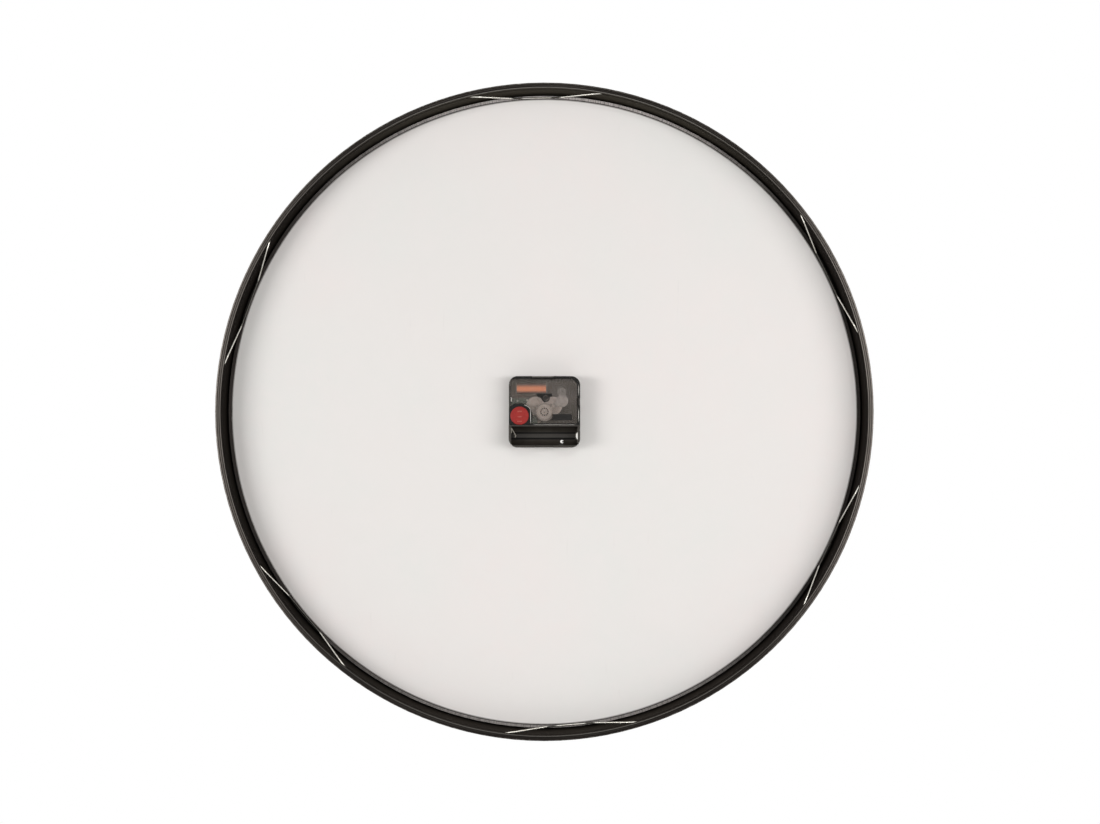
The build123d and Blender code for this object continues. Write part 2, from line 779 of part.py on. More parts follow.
# Bridge with lobes over its posts and an arm to the arbors that pass through it
bridge_top_face = bridge_low + bridge_thickness
bridge_arms = (
    (bridge_top_post, bridge_right_post),
    (bridge_right_post, intermediate_at),
    (intermediate_at, center),
)
with BuildPart() as train_bridge:
    with BuildSketch(level(bridge_low)):
        for start, end in bridge_arms:
            reach = (end[0] - start[0], end[1] - start[1])
            with Locations(((start[0] + end[0]) / 2, (start[1] + end[1]) / 2)):
                SlotCenterToCenter(hypot(*reach), bridge_arm, rotation=degrees(atan2(reach[1], reach[0])))
        for across, up, radius in (bridge_right_lobe, bridge_top_lobe):
            with Locations((across, up)):
                Circle(radius)
    extrude(amount=bridge_thickness)
    disc(center, second_arbor_radius + running_play, bridge_low, bridge_top_face, mode=Mode.SUBTRACT)
    disc(intermediate_at, arbor_radius + running_play, bridge_low, bridge_top_face, mode=Mode.SUBTRACT)
    for post in (bridge_right_post, bridge_top_post):
        disc(post, peg_radius, bridge_low, bridge_top_face, mode=Mode.SUBTRACT)
write_piece(train_bridge, "train_bridge")

# Battery contacts: a folded leaf at one end of the bay, a plate with a button at the other
bay_end = bay_length / 2
with BuildPart() as negative_contact:
    with BuildSketch(level(contact_low)):
        leaf_root = -bay_end + contact_gap
        with BuildLine():
            Polyline(
                (leaf_root, bay_axis + leaf_half_span),
                (leaf_root + contact_thickness, bay_axis + leaf_half_span),
                (leaf_root + contact_thickness + leaf_bulge, bay_axis),
                (leaf_root + contact_thickness + leaf_bulge - leaf_curl, bay_axis - leaf_curl_length),
                (leaf_root + leaf_bulge - leaf_curl, bay_axis - leaf_curl_length),
                (leaf_root + leaf_bulge, bay_axis),
                (leaf_root + contact_thickness, bay_axis + leaf_half_span - leaf_fold),
                (leaf_root + contact_thickness, bay_axis + leaf_half_span - leaf_foot),
                (leaf_root, bay_axis + leaf_half_span - leaf_foot),
                close=True,
            )
        make_face()
    extrude(amount=contact_high - contact_low)
write_piece(negative_contact, "negative_contact")

plate_face = bay_end - contact_gap - contact_thickness
with BuildPart() as positive_contact:
    block(
        plate_face, plate_face + contact_thickness, bay_axis - plate_half_width, bay_axis + plate_half_width,
        contact_low, plate_high,
    )
    block(
        plate_face - plate_tab_reach, plate_face + contact_thickness,
        bay_axis - plate_tab_width / 2, bay_axis + plate_tab_width / 2,
        plate_high - contact_thickness, plate_high,
    )
    with BuildSketch(end_view(plate_face - plate_button_height)):
        with Locations((bay_axis, bay_center)):
            Circle(plate_button_radius)
    extrude(amount=plate_button_height)
write_piece(positive_contact, "positive_contact")

with BuildPart() as contact_rivet:
    disc(rivet_at, rivet_shank_radius, blind_floor, rivet_seat)
    disc(rivet_at, rivet_head_radius, rivet_seat, rivet_seat + rivet_head_height)
    head_edge = contact_rivet.edges().filter_by(GeomType.CIRCLE).sort_by(Axis.Y)[-1]
    fillet(head_edge, rivet_head_height * 0.8)
write_piece(contact_rivet, "contact_rivet")

# Tooth phases: each gear takes its place from the one that drives it
second_phase = pi / 2
second_pinion_phase = 0.0
minute_phase = 0.0
minute_pinion_phase = 0.0
intermediate_pinion_phase = meshing_phase(
    center, second_wheel_teeth, second_phase, intermediate_at, intermediate_pinion_teeth
)
intermediate_phase = 0.0
rotor_phase = meshing_phase(
    intermediate_at, intermediate_wheel_teeth, intermediate_phase, rotor_at, rotor_pinion_teeth
)
third_phase = meshing_phase(center, second_pinion_teeth, second_pinion_phase, third_at, third_wheel_teeth)
third_pinion_phase = meshing_phase(center, minute_wheel_teeth, minute_phase, third_at, third_pinion_teeth)
reverse_phase = meshing_phase(
    center, minute_pinion_teeth, minute_pinion_phase, reverse_at, reverse_wheel_teeth
)
reverse_pinion_phase = 0.0
hour_phase = meshing_phase(reverse_at, reverse_pinion_teeth, reverse_pinion_phase, center, hour_wheel_teeth)
knob_phase = meshing_phase(reverse_at, reverse_wheel_teeth, reverse_phase, knob_at, knob_gear_teeth)

# Rotor
intermediate_wheel_high = intermediate_wheel_low + intermediate_wheel_thickness
rotor_pinion_low = intermediate_wheel_low - pinion_overlap
rotor_pinion_high = intermediate_wheel_high + pinion_overlap
rotor_shoulder = rotor_boss_top + shoulder_play
upper_shoulder = cover_bearing_low - shoulder_play
with BuildPart() as rotor_arbor:
    disc(rotor_at, pivot_radius, blind_floor + shoulder_play, rotor_shoulder)
    disc(rotor_at, arbor_radius, rotor_shoulder, rotor_pinion_low)
    gear(rotor_at, rotor_pinion_teeth, rotor_module, rotor_phase, rotor_pinion_low, rotor_pinion_high)
    disc(rotor_at, arbor_radius, rotor_pinion_high, upper_shoulder)
    disc(rotor_at, pivot_radius, upper_shoulder, cover_bearing_high - shoulder_play)
write_piece(rotor_arbor, "rotor_arbor")

with BuildPart() as rotor_magnet:
    disc(rotor_at, magnet_radius, magnet_low, magnet_high)
    disc(rotor_at, arbor_radius, magnet_low, magnet_high, mode=Mode.SUBTRACT)
write_piece(rotor_magnet, "rotor_magnet")

# Intermediate wheel
second_wheel_high = second_wheel_low + second_wheel_thickness
second_mesh_low = second_wheel_low - pinion_overlap
second_mesh_high = second_wheel_high + pinion_overlap
boss_shoulder = boss_top + shoulder_play
pivot_low = boss_top - pivot_length + shoulder_play
with BuildPart() as intermediate_wheel:
    disc(intermediate_at, pivot_radius, pivot_low, boss_shoulder)
    disc(intermediate_at, thin_arbor_radius, boss_shoulder, intermediate_wheel_low)
    gear(
        intermediate_at, intermediate_wheel_teeth, rotor_module, intermediate_phase,
        intermediate_wheel_low, intermediate_wheel_high,
    )
    disc(intermediate_at, arbor_radius, intermediate_wheel_high, second_mesh_low)
    gear(
        intermediate_at, intermediate_pinion_teeth, second_module, intermediate_pinion_phase,
        second_mesh_low, second_mesh_high,
    )
    disc(intermediate_at, pivot_radius, second_mesh_high, cover_bearing_high - shoulder_play)
write_piece(intermediate_wheel, "intermediate_wheel")

# Second hand's arbor with its pinion, and the wheel pressed on it
third_wheel_high = third_wheel_low + third_wheel_thickness
with BuildPart() as second_arbor:
    disc(center, second_arbor_radius, second_arbor_front, second_mesh_high)
    gear(
        center, second_pinion_teeth, third_module, second_pinion_phase,
        third_wheel_low - pinion_overlap, third_wheel_high + pinion_overlap,
    )
    disc(center, pivot_radius, second_mesh_high, cover_bearing_high - shoulder_play)
write_piece(second_arbor, "second_arbor")

with BuildPart() as second_wheel:
    gear(center, second_wheel_teeth, second_module, second_phase, second_wheel_low, second_wheel_high)
    disc(center, second_hub_radius, second_mesh_low, second_mesh_high)
    disc(center, second_arbor_radius, second_mesh_low, second_mesh_high, mode=Mode.SUBTRACT)
write_piece(second_wheel, "second_wheel")

# Third wheel
minute_wheel_high = minute_wheel_low + minute_wheel_thickness
third_pinion_low = minute_wheel_low - pinion_overlap
third_pinion_high = minute_wheel_high + pinion_overlap
with BuildPart() as third_wheel:
    disc(third_at, pivot_radius, pivot_low, boss_shoulder)
    disc(third_at, arbor_radius, boss_shoulder, third_pinion_low)
    gear(third_at, third_pinion_teeth, minute_module, third_pinion_phase, third_pinion_low, third_pinion_high)
    disc(third_at, arbor_radius, third_pinion_high, third_wheel_low)
    gear(third_at, third_wheel_teeth, third_module, third_phase, third_wheel_low, third_wheel_high)
    disc(third_at, arbor_radius, third_wheel_high, upper_shoulder)
    disc(third_at, pivot_radius, upper_shoulder, cover_bearing_high - shoulder_play)
write_piece(third_wheel, "third_wheel")

# Minute cannon with its pinion, and the wheel pressed on it
reverse_wheel_high = reverse_wheel_low + reverse_wheel_thickness
minute_pinion_low = reverse_wheel_low - pinion_overlap
minute_pinion_high = reverse_wheel_high + pinion_overlap
with BuildPart() as minute_cannon:
    disc(center, minute_tube_radius, minute_tube_front, minute_wheel_high + shoulder_play)
    gear(
        center, minute_pinion_teeth, motion_module, minute_pinion_phase,
        minute_pinion_low, minute_pinion_high,
    )
    disc(
        center, second_arbor_radius + running_play, minute_tube_front, minute_wheel_high + shoulder_play,
        mode=Mode.SUBTRACT,
    )
write_piece(minute_cannon, "minute_cannon")

with BuildPart() as minute_wheel:
    gear(center, minute_wheel_teeth, minute_module, minute_phase, minute_wheel_low, minute_wheel_high)
    disc(center, minute_tube_radius, minute_wheel_low, minute_wheel_high, mode=Mode.SUBTRACT)
write_piece(minute_wheel, "minute_wheel")

# Hour wheel with its tube
hour_wheel_high = hour_wheel_low + hour_wheel_thickness
with BuildPart() as hour_wheel:
    gear(center, hour_wheel_teeth, hour_module, hour_phase, hour_wheel_low, hour_wheel_high)
    disc(center, hour_tube_radius, hour_tube_front, hour_wheel_high)
    disc(center, minute_tube_radius + running_play, hour_tube_front, hour_wheel_high, mode=Mode.SUBTRACT)
write_piece(hour_wheel, "hour_wheel")

# Reverse wheel on its stud
reverse_pinion_low = hour_wheel_low - pinion_overlap
reverse_hub_radius = hour_module * (reverse_pinion_teeth / 2 - root_height)
with BuildPart() as reverse_wheel:
    gear(
        reverse_at, reverse_pinion_teeth, hour_module, reverse_pinion_phase,
        reverse_pinion_low, hour_wheel_high + pinion_overlap,
    )
    disc(reverse_at, reverse_hub_radius, hour_wheel_high, reverse_wheel_low)
    gear(
        reverse_at, reverse_wheel_teeth, motion_module, reverse_phase,
        reverse_wheel_low, reverse_wheel_high,
    )
    disc(
        reverse_at, reverse_stud_radius + running_play, reverse_pinion_low, reverse_wheel_high,
        mode=Mode.SUBTRACT,
    )
write_piece(reverse_wheel, "reverse_wheel")

# Setting knob with its stem and gear
with BuildPart() as setting_knob:
    disc(knob_at, knob_radius, knob_low, knob_high)
    fillet(setting_knob.edges().filter_by(GeomType.CIRCLE), knob_edge_round)
    with BuildSketch(level(knob_high)):
        with Locations(*[(knob_at[0], knob_at[1] + height) for height in knob_mark_heights]):
            RectangleRounded(knob_mark_length, knob_mark_width, knob_mark_width / 3)
    extrude(amount=knob_mark_height)
    disc(knob_at, knob_stem_radius, minute_pinion_low, knob_low)
    gear(knob_at, knob_gear_teeth, motion_module, knob_phase, minute_pinion_low, minute_pinion_high)
    disc(knob_at, knob_pivot_radius, blind_floor + shoulder_play, minute_pinion_low)
write_piece(setting_knob, "setting_knob")


def hand_plane(height, angle):
    """Plane of a hand whose local y points along the hand, turned clockwise seen from the dial side."""
    along = (-cos(radians(angle)), 0, sin(radians(angle)))
    return Plane(origin=(0, height - board_depth, 0), x_dir=along, z_dir=(0, 1, 0))


def hand_blade(front, angle, length, tail, root_width, tip_width, hub_radius):
    """Flat tapered hand with a round hub."""
    with BuildSketch(hand_plane(front, angle)) as outline:
        with BuildLine():
            Polyline(
                (-root_width / 2, -tail),
                (root_width / 2, -tail),
                (root_width / 2, 0),
                (tip_width / 2, length),
                (-tip_width / 2, length),
                (-root_width / 2, 0),
                close=True,
            )
        make_face()
        Circle(hub_radius)
    extrude(outline.sketch, amount=hand_thickness)


# Hands: flat blades with collars pressed on the ends of the tubes
hour_blade_front = hour_tube_front + collar_setback
with BuildPart() as hour_hand:
    hand_blade(
        hour_blade_front, hour_hand_angle, hour_hand_length, hour_hand_tail,
        hour_hand_root, hour_hand_tip, hour_hub_radius,
    )
    disc(center, hour_tube_radius + collar_wall, hour_blade_front, hour_blade_front + collar_length)
    disc(center, hour_tube_radius, hour_blade_front, hour_blade_front + collar_length, mode=Mode.SUBTRACT)
write_piece(hour_hand, "hour_hand")

minute_blade_front = minute_tube_front + collar_setback
with BuildPart() as minute_hand:
    hand_blade(
        minute_blade_front, minute_hand_angle, minute_hand_length, minute_hand_tail,
        minute_hand_root, minute_hand_tip, minute_hub_radius,
    )
    disc(center, minute_tube_radius + collar_wall, minute_blade_front, minute_blade_front + collar_length)
    disc(
        center, minute_tube_radius, minute_blade_front, minute_blade_front + collar_length,
        mode=Mode.SUBTRACT,
    )
write_piece(minute_hand, "minute_hand")

second_blade_front = second_arbor_front + collar_setback
with BuildPart() as second_hand:
    hand_blade(
        second_blade_front, second_hand_angle, second_hand_length, second_hand_tail,
        second_hand_root, second_hand_tip, second_hub_disc,
    )
    with BuildSketch(hand_plane(second_blade_front, second_hand_angle)):
        with Locations((0, -second_hand_tail)):
            Circle(second_weight_radius)
    extrude(amount=hand_thickness)
    disc(center, second_arbor_radius + collar_wall, second_blade_front, second_blade_front + collar_length)
    disc(
        center, second_arbor_radius, second_blade_front, second_blade_front + collar_length,
        mode=Mode.SUBTRACT,
    )
write_piece(second_hand, "second_hand")
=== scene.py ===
"""Studio scene of a round battery wall clock, seen from behind.

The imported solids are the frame. Each solid gets its finish here, the fine pieces that the solids leave out
are added as worked-out surfaces, and the floor, the lamps and the camera are set. Lengths are in metres.
Seen from behind, right is -X and up is +Z, and +Y points from the dial to the wall.
"""
import logging
import math
from abc import ABC, abstractmethod
from dataclasses import dataclass
from enum import Enum
from functools import cached_property, partial, reduce

import bmesh
import bpy
import numpy as np
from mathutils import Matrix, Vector


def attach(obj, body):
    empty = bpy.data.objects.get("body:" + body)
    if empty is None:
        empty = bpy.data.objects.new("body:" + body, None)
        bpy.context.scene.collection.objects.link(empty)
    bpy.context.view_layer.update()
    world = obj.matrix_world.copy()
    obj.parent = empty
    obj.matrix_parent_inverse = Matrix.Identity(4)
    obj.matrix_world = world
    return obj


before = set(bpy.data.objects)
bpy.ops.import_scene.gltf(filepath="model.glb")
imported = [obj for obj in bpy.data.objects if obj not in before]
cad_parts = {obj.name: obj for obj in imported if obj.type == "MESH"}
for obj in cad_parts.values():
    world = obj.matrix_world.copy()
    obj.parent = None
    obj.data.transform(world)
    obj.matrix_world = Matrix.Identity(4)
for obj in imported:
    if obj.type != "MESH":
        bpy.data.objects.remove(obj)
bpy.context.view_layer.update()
LOG = logging.getLogger("wall_clock")

Socket = bpy.types.NodeSocket
Material = bpy.types.Material
Tree = bpy.types.NodeTree
Colour = tuple[float, float, float]
Point = tuple[float, float, float]
Pair = tuple[float, float]
Value = Socket | float
Shade = Socket | Colour

BOARD_BACK = -0.022
HAND_AXIS = (0.0, 0.0)
WARM_GLOSS = (1.0, 0.89, 0.79)
WHITE = (1.0, 1.0, 1.0)

# Axes of the two wheels beside the motor, in millimetres right of and above the hand axis, seen from behind.
THIRD_AXIS = (-7.061, 4.550)
INTERMEDIATE_AXIS = (6.856, 4.678)

# In a mesh, points nearer than SEAM are joined and edges shorter than SLIVER are taken out.
SEAM = 2e-7
SLIVER = 1e-8


class Step(Enum):
    """One step of arithmetic."""

    PLUS = "ADD"
    MINUS = "SUBTRACT"
    TIMES = "MULTIPLY"
    OVER = "DIVIDE"
    MOST = "MAXIMUM"
    SIZE = "ABSOLUTE"
    SINE = "SINE"
    COSINE = "COSINE"
    ANGLE = "ARCTAN2"


class Cell(Enum):
    """What a cell pattern measures the distance to."""

    MIDDLE = "F1"
    BORDER = "DISTANCE_TO_EDGE"


class Body(Enum):
    """The bodies that wheels and new pieces ride on."""

    CASE = "case"
    MINUTE = "minute"
    HOUR = "hour"
    SECOND = "second"
    THIRD = "third"
    INTERMEDIATE = "intermediate"
    REVERSE = "reverse"


def behind(right: float, up: float, height: float) -> Point:
    """Gives a point in metres from millimetres seen from behind: right and up of the axis, off the board."""
    return (-right / 1000, BOARD_BACK + height / 1000, up / 1000)


def axis_at(right: float, up: float) -> Pair:
    """Gives the X and Z in metres of an axis along Y, from its place seen from behind in millimetres."""
    x, _, z = behind(right, up, 0.0)
    return (x, z)


def feed(socket: Socket, value: object) -> None:
    """Joins a socket to value where that is a socket, and sets it otherwise.

    Args:
        socket: The socket that is fed.
        value: Another node's socket, a number, a colour or a vector.
    """
    if isinstance(value, Socket):
        socket.id_data.links.new(value, socket)
    elif isinstance(value, tuple) and socket.type == "RGBA":
        socket.default_value = (*value, 1.0)
    else:
        socket.default_value = value


def add(tree: Tree, kind: str, inputs: dict, out: int | str = 0, **settings: object) -> Socket:
    """Adds a shader node.

    Args:
        tree: Where it is added.
        kind: Its type without the ShaderNode prefix.
        inputs: Socket name or number to a value or another node's socket.
        out: Number or name of the output that is wanted.
        settings: The node's own properties.

    Returns:
        That output.
    """
    node = tree.nodes.new("ShaderNode" + kind)
    for key, value in settings.items():
        setattr(node, key, value)
    for key, value in inputs.items():
        feed(node.inputs[key], value)
    return node.outputs[out]


def maths(step: Step, a: Value, b: Value = 0.0) -> Socket:
    """Works out one step of arithmetic, on two values of which one at least is a socket."""
    tree = (a if isinstance(a, Socket) else b).id_data
    return add(tree, "Math", {0: a, 1: b}, operation=step.value)


def plus(a: Value, b: Value) -> Socket:
    """Adds two values."""
    return maths(Step.PLUS, a, b)


def minus(a: Value, b: Value) -> Socket:
    """Takes the second value from the first."""
    return maths(Step.MINUS, a, b)


def over(a: Value, b: Value) -> Socket:
    """Divides the first value by the second."""
    return maths(Step.OVER, a, b)


def apart(a: Value, b: Value) -> Socket:
    """Tells how far apart two values are."""
    return maths(Step.SIZE, minus(a, b))


def times(*values: Value) -> Socket:
    """Multiplies values: a product of shares is 1 only where all of them are."""
    return reduce(partial(maths, Step.TIMES), values)


def most(*values: Value) -> Socket:
    """Gives the largest value: the most of several shares is 1 where any of them is."""
    return reduce(partial(maths, Step.MOST), values)


def join(x: Socket, y: Value, z: Value) -> Socket:
    """Makes a vector of three numbers."""
    return add(x.id_data, "CombineXYZ", {0: x, 1: y, 2: z})


def parts(vector: Socket) -> tuple[Socket, ...]:
    """Splits a vector into its X, Y and Z."""
    return tuple(add(vector.id_data, "SeparateXYZ", {0: vector}).node.outputs)


def length(x: Socket, y: Value, z: Value) -> Socket:
    """Gives the length of a vector of three numbers."""
    return add(x.id_data, "VectorMath", {0: join(x, y, z)}, "Value", operation="LENGTH")


def between(value: Socket, low: float, high: float, start: float = 0.0, end: float = 1.0) -> Socket:
    """Carries a value that runs from low to high over to start and end, softly, and holds it there."""
    inputs = {"Value": value, "From Min": low, "From Max": high, "To Min": start, "To Max": end}
    return add(value.id_data, "MapRange", inputs, interpolation_type="SMOOTHSTEP")


def fade(value: Socket, low: float, high: float) -> Socket:
    """Gives 1 up to low, falling to 0 at high."""
    return between(value, low, high, 1.0, 0.0)


def band(value: Socket, low: float, high: float, soft: float) -> Socket:
    """Gives 1 from low to high and 0 outside, with ends that pass over within soft."""
    return times(between(value, low - soft, low + soft), fade(value, high - soft, high + soft))


def mix(share: Socket, first: Value, second: Value) -> Socket:
    """Mixes two numbers by a share from 0, the first, to 1, the second."""
    return add(share.id_data, "Mix", {0: share, 2: first, 3: second})


def tint(share: Socket, first: Shade, second: Shade) -> Socket:
    """Mixes two colours by a share from 0, the first, to 1, the second."""
    return add(share.id_data, "Mix", {0: share, 6: first, 7: second}, 2, data_type="RGBA")


def grade(value: Socket, low: float, high: float, first: Shade, second: Shade, end: float = 1.0) -> Socket:
    """Passes from one colour, up to low, to another, from high on, with end as the share of it there."""
    return tint(between(value, low, high, 0.0, end), first, second)


def cells(where: Socket, scale: float, target: Cell) -> Socket:
    """Gives the distance to the middle or the border of cells, about 1 / scale metres across."""
    inputs = {"Vector": where, "Scale": scale}
    return add(where.id_data, "TexVoronoi", inputs, "Distance", feature=target.value)


def relief(height: Socket, depth: float, under: Socket | None = None) -> Socket:
    """Tilts the surface as if height, from 0 to 1, stood depth metres proud, over another relief if any."""
    inputs = {"Height": height, "Distance": depth, "Strength": 1.0} | ({"Normal": under} if under else {})
    return add(height.id_data, "Bump", inputs)


class Graph:
    """The shader nodes of a material or the room, with the measures that a finish is drawn from."""

    def __init__(self, holder: Material | bpy.types.World) -> None:
        """Starts from the plain surface that a new material or room has.

        Args:
            holder: The material or the room.
        """
        holder.use_nodes = True
        self.tree = holder.node_tree
        self.output = next(n for n in self.tree.nodes if n.type.startswith("OUTPUT")).inputs["Surface"]
        self.surface = self.output.links[0].from_node

    def finish(self, **values: object) -> None:
        """Sets the plain surface.

        Args:
            values: Socket names in small letters with underscores, such as base_color, to values or sockets.
        """
        names = {s.name.lower().replace(" ", "_"): s for s in self.surface.inputs}
        for key, value in values.items():
            feed(names[key], value)

    def soak(self, weight: float, *reach: float) -> None:
        """Lets a share of the light soak in, as far as three lengths in metres for red, green and blue."""
        self.finish(subsurface_weight=weight, subsurface_radius=reach, subsurface_scale=1.0)

    def overlay(self, share: Socket, kind: str, **inputs: object) -> None:
        """Mixes another shader, such as Emission, over the plain surface by a share from 0 to 1."""
        shaders = {1: self.surface.outputs[0], 2: add(self.tree, kind, inputs)}
        feed(self.output, add(self.tree, "MixShader", {0: share} | shaders))

    def ray(self, kind: str) -> Socket:
        """Gives 1 to rays of a kind, such as Shadow."""
        return add(self.tree, "LightPath", {}, f"Is {kind} Ray")

    def seen(self) -> Socket:
        """Gives 1 to rays that show the surface to the eye, in gloss or through glass."""
        return most(*map(self.ray, ("Camera", "Glossy", "Transmission")))

    @cached_property
    def place(self) -> Socket:
        """The point on the piece, in the shared frame."""
        return add(self.tree, "TexCoord", {}, "Object")

    @cached_property
    def xyz(self) -> tuple[Socket, ...]:
        """The X, Y and Z of that point."""
        return parts(self.place)

    def about(self, centre: Pair = HAND_AXIS) -> Socket:
        """Measures the distance from an axis along Y, given by its X and Z."""
        x, _, z = self.xyz
        return length(minus(x, centre[0]), 0.0, minus(z, centre[1]))

    def sideways(self, low: float = 0.25, high: float = 0.9) -> Socket:
        """Gives 0 above and below the hand axis and 1 beside it, from low to high in sines of the angle."""
        x, _, z = self.xyz
        return between(over(maths(Step.SIZE, x), length(x, 0.0, z)), low, high)

    def stretched(self, *factors: float) -> Socket:
        """Gives the point with its X, Y and Z multiplied by three factors."""
        return add(self.tree, "VectorMath", {0: self.place, 1: factors}, operation="MULTIPLY")

    def noise(
        self, scale: float, detail: float = 2.0, rough: float = 0.5, where: Socket | None = None
    ) -> Socket:
        """Gives soft mottling from 0 to 1, about scale blotches per metre of the piece, or over where."""
        inputs = {"Vector": where or self.place, "Scale": scale, "Detail": detail, "Roughness": rough}
        return add(self.tree, "TexNoise", inputs)

    def streaks(self, across: Socket, fine: float, along: float, detail: float = 2.0) -> Socket:
        """Gives lines from 0 to 1: fine of them per metre across, changing along times per metre."""
        inputs = {"Vector": self.stretched(along, along, along), "W": times(across, fine), "Scale": 1.0}
        return add(self.tree, "TexNoise", inputs | {"Detail": detail}, noise_dimensions="4D")


class Finish(ABC):
    """A surface that a piece can be given."""

    def make(self, name: str, *nodes: str) -> Material:
        """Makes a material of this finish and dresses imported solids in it.

        Args:
            name: The material's name.
            nodes: The solids that wear it, if any.

        Returns:
            The material.
        """
        material = bpy.data.materials.new(name)
        self.paint(Graph(material))
        for node in nodes:
            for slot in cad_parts[node].material_slots:
                slot.material = material
            LOG.info("solid %s wears %s", node, name)
        return material

    @abstractmethod
    def paint(self, graph: Graph) -> None:
        """Lays this finish on a new material's nodes."""


@dataclass(frozen=True)
class TurnedBlack(Finish):
    """Blackened metal with turned lines round the axis, rubbed edges and a dull painted inner wall.

    The lip has a painted highlight in a bow tie, bright to the sides and dim above and below, and the outer
    side a fainter one. Its cut lines hold painted shade and its inner edge a painted highlight, and the inner
    wall is painted lighter towards the top and darker to the sides.
    """

    # Painted highlight: the lip runs from dim above and below to a bright bow tie to the sides, the outer
    # side to a fainter one.
    dim: Colour = (0.021, 0.0180, 0.0158)
    painted_highlight: Colour = (0.140, 0.124, 0.112)
    outside: Colour = (0.052, 0.046, 0.041)
    line: Colour = (0.125, 0.112, 0.100)
    patch: Colour = (0.028, 0.0245, 0.0215)
    # Painted shade in the lip's cut lines.
    cut: Colour = (0.010, 0.0088, 0.0078)
    # The inner wall, with painted light towards the top and painted shade to the sides.
    inside: Colour = (0.0150, 0.0120, 0.0092)
    inside_side_shade: Colour = (0.0034, 0.0022, 0.0015)
    inside_lit_top: Colour = (0.0330, 0.0285, 0.0210)
    rubbed: Colour = (0.30, 0.285, 0.26)
    # Painted highlight on the lip's inner edge.
    arris_highlight: Colour = (0.105, 0.099, 0.090)
    radius: float = 0.257
    wall: float = 0.2526
    first_line: float = 0.2538
    line_pitch: float = 0.0016
    lip: Pair = (-0.0012, -0.0008)
    arris_depth: Pair = (-0.0009, -0.0006)
    rubbed_depth: Pair = (-0.0016, -0.0002)
    lit_wall: Pair = (0.05, 0.24)
    lines_per_metre: float = 2600.0

    def paint(self, graph: Graph) -> None:
        """Runs fine lines over distance plus depth, paints highlights on the lip and shade in its cut lines,
        wears edges, and mattes the wall, painting it lighter towards the top and darker to the sides.

        Args:
            graph: The material's nodes.
        """
        _, depth, z = graph.xyz
        distance = graph.about()
        lines = graph.streaks(plus(distance, depth), self.lines_per_metre, 14.0, 3.0)
        side = graph.sideways()
        lip = between(depth, *self.lip)
        # Painted highlight: a bow tie, bright to the sides, fainter on the outer side.
        shade = tint(graph.sideways(0.55, 1.0), self.dim, tint(lip, self.outside, self.painted_highlight))
        shade = grade(lines, 0.35, 0.8, shade, self.line, 0.5)
        # Painted shade laid into two of the lip's cut lines.
        turn = over(minus(distance, self.first_line), self.line_pitch / math.tau)
        cut = between(maths(Step.COSINE, turn), -0.1, 0.7, 0.0, 0.95)
        shade = tint(times(cut, lip), shade, self.cut)
        patches = graph.noise(38.0, 4.0, 0.6)
        shade = grade(patches, 0.45, 0.8, shade, self.patch, 0.3)
        # Painted highlight along the lip's inner edge, stronger above and below.
        edge = times(
            between(distance, self.wall + 0.0008, self.wall + 0.0012, 0.8, 0.0),
            between(side, 0.0, 1.0, 1.0, 0.3),
            between(depth, *self.arris_depth),
        )
        shade = tint(edge, shade, self.arris_highlight)
        wear = times(
            between(distance, self.radius - 0.0011, self.radius - 0.0002),
            between(depth, *self.rubbed_depth),
            between(graph.noise(420.0, 3.0), 0.47, 0.72),
        )
        shade = tint(wear, shade, self.rubbed)
        # Painted light towards the top of the inner wall; painted shade to its sides is laid at the base
        # colour.
        wall = grade(z, *self.lit_wall, self.inside, self.inside_lit_top)
        inner = fade(distance, self.wall + 0.00005, self.wall + 0.00035)
        graph.finish(
            base_color=tint(inner, shade, tint(side, wall, self.inside_side_shade)),
            metallic=mix(inner, 0.75, 0.0),
            roughness=mix(inner, between(lines, 0.2, 0.8, 0.34, 0.52), 0.9),
            specular_ior_level=0.12,
            specular_tint=WARM_GLOSS,
            normal=relief(lines, 0.00003),
        )


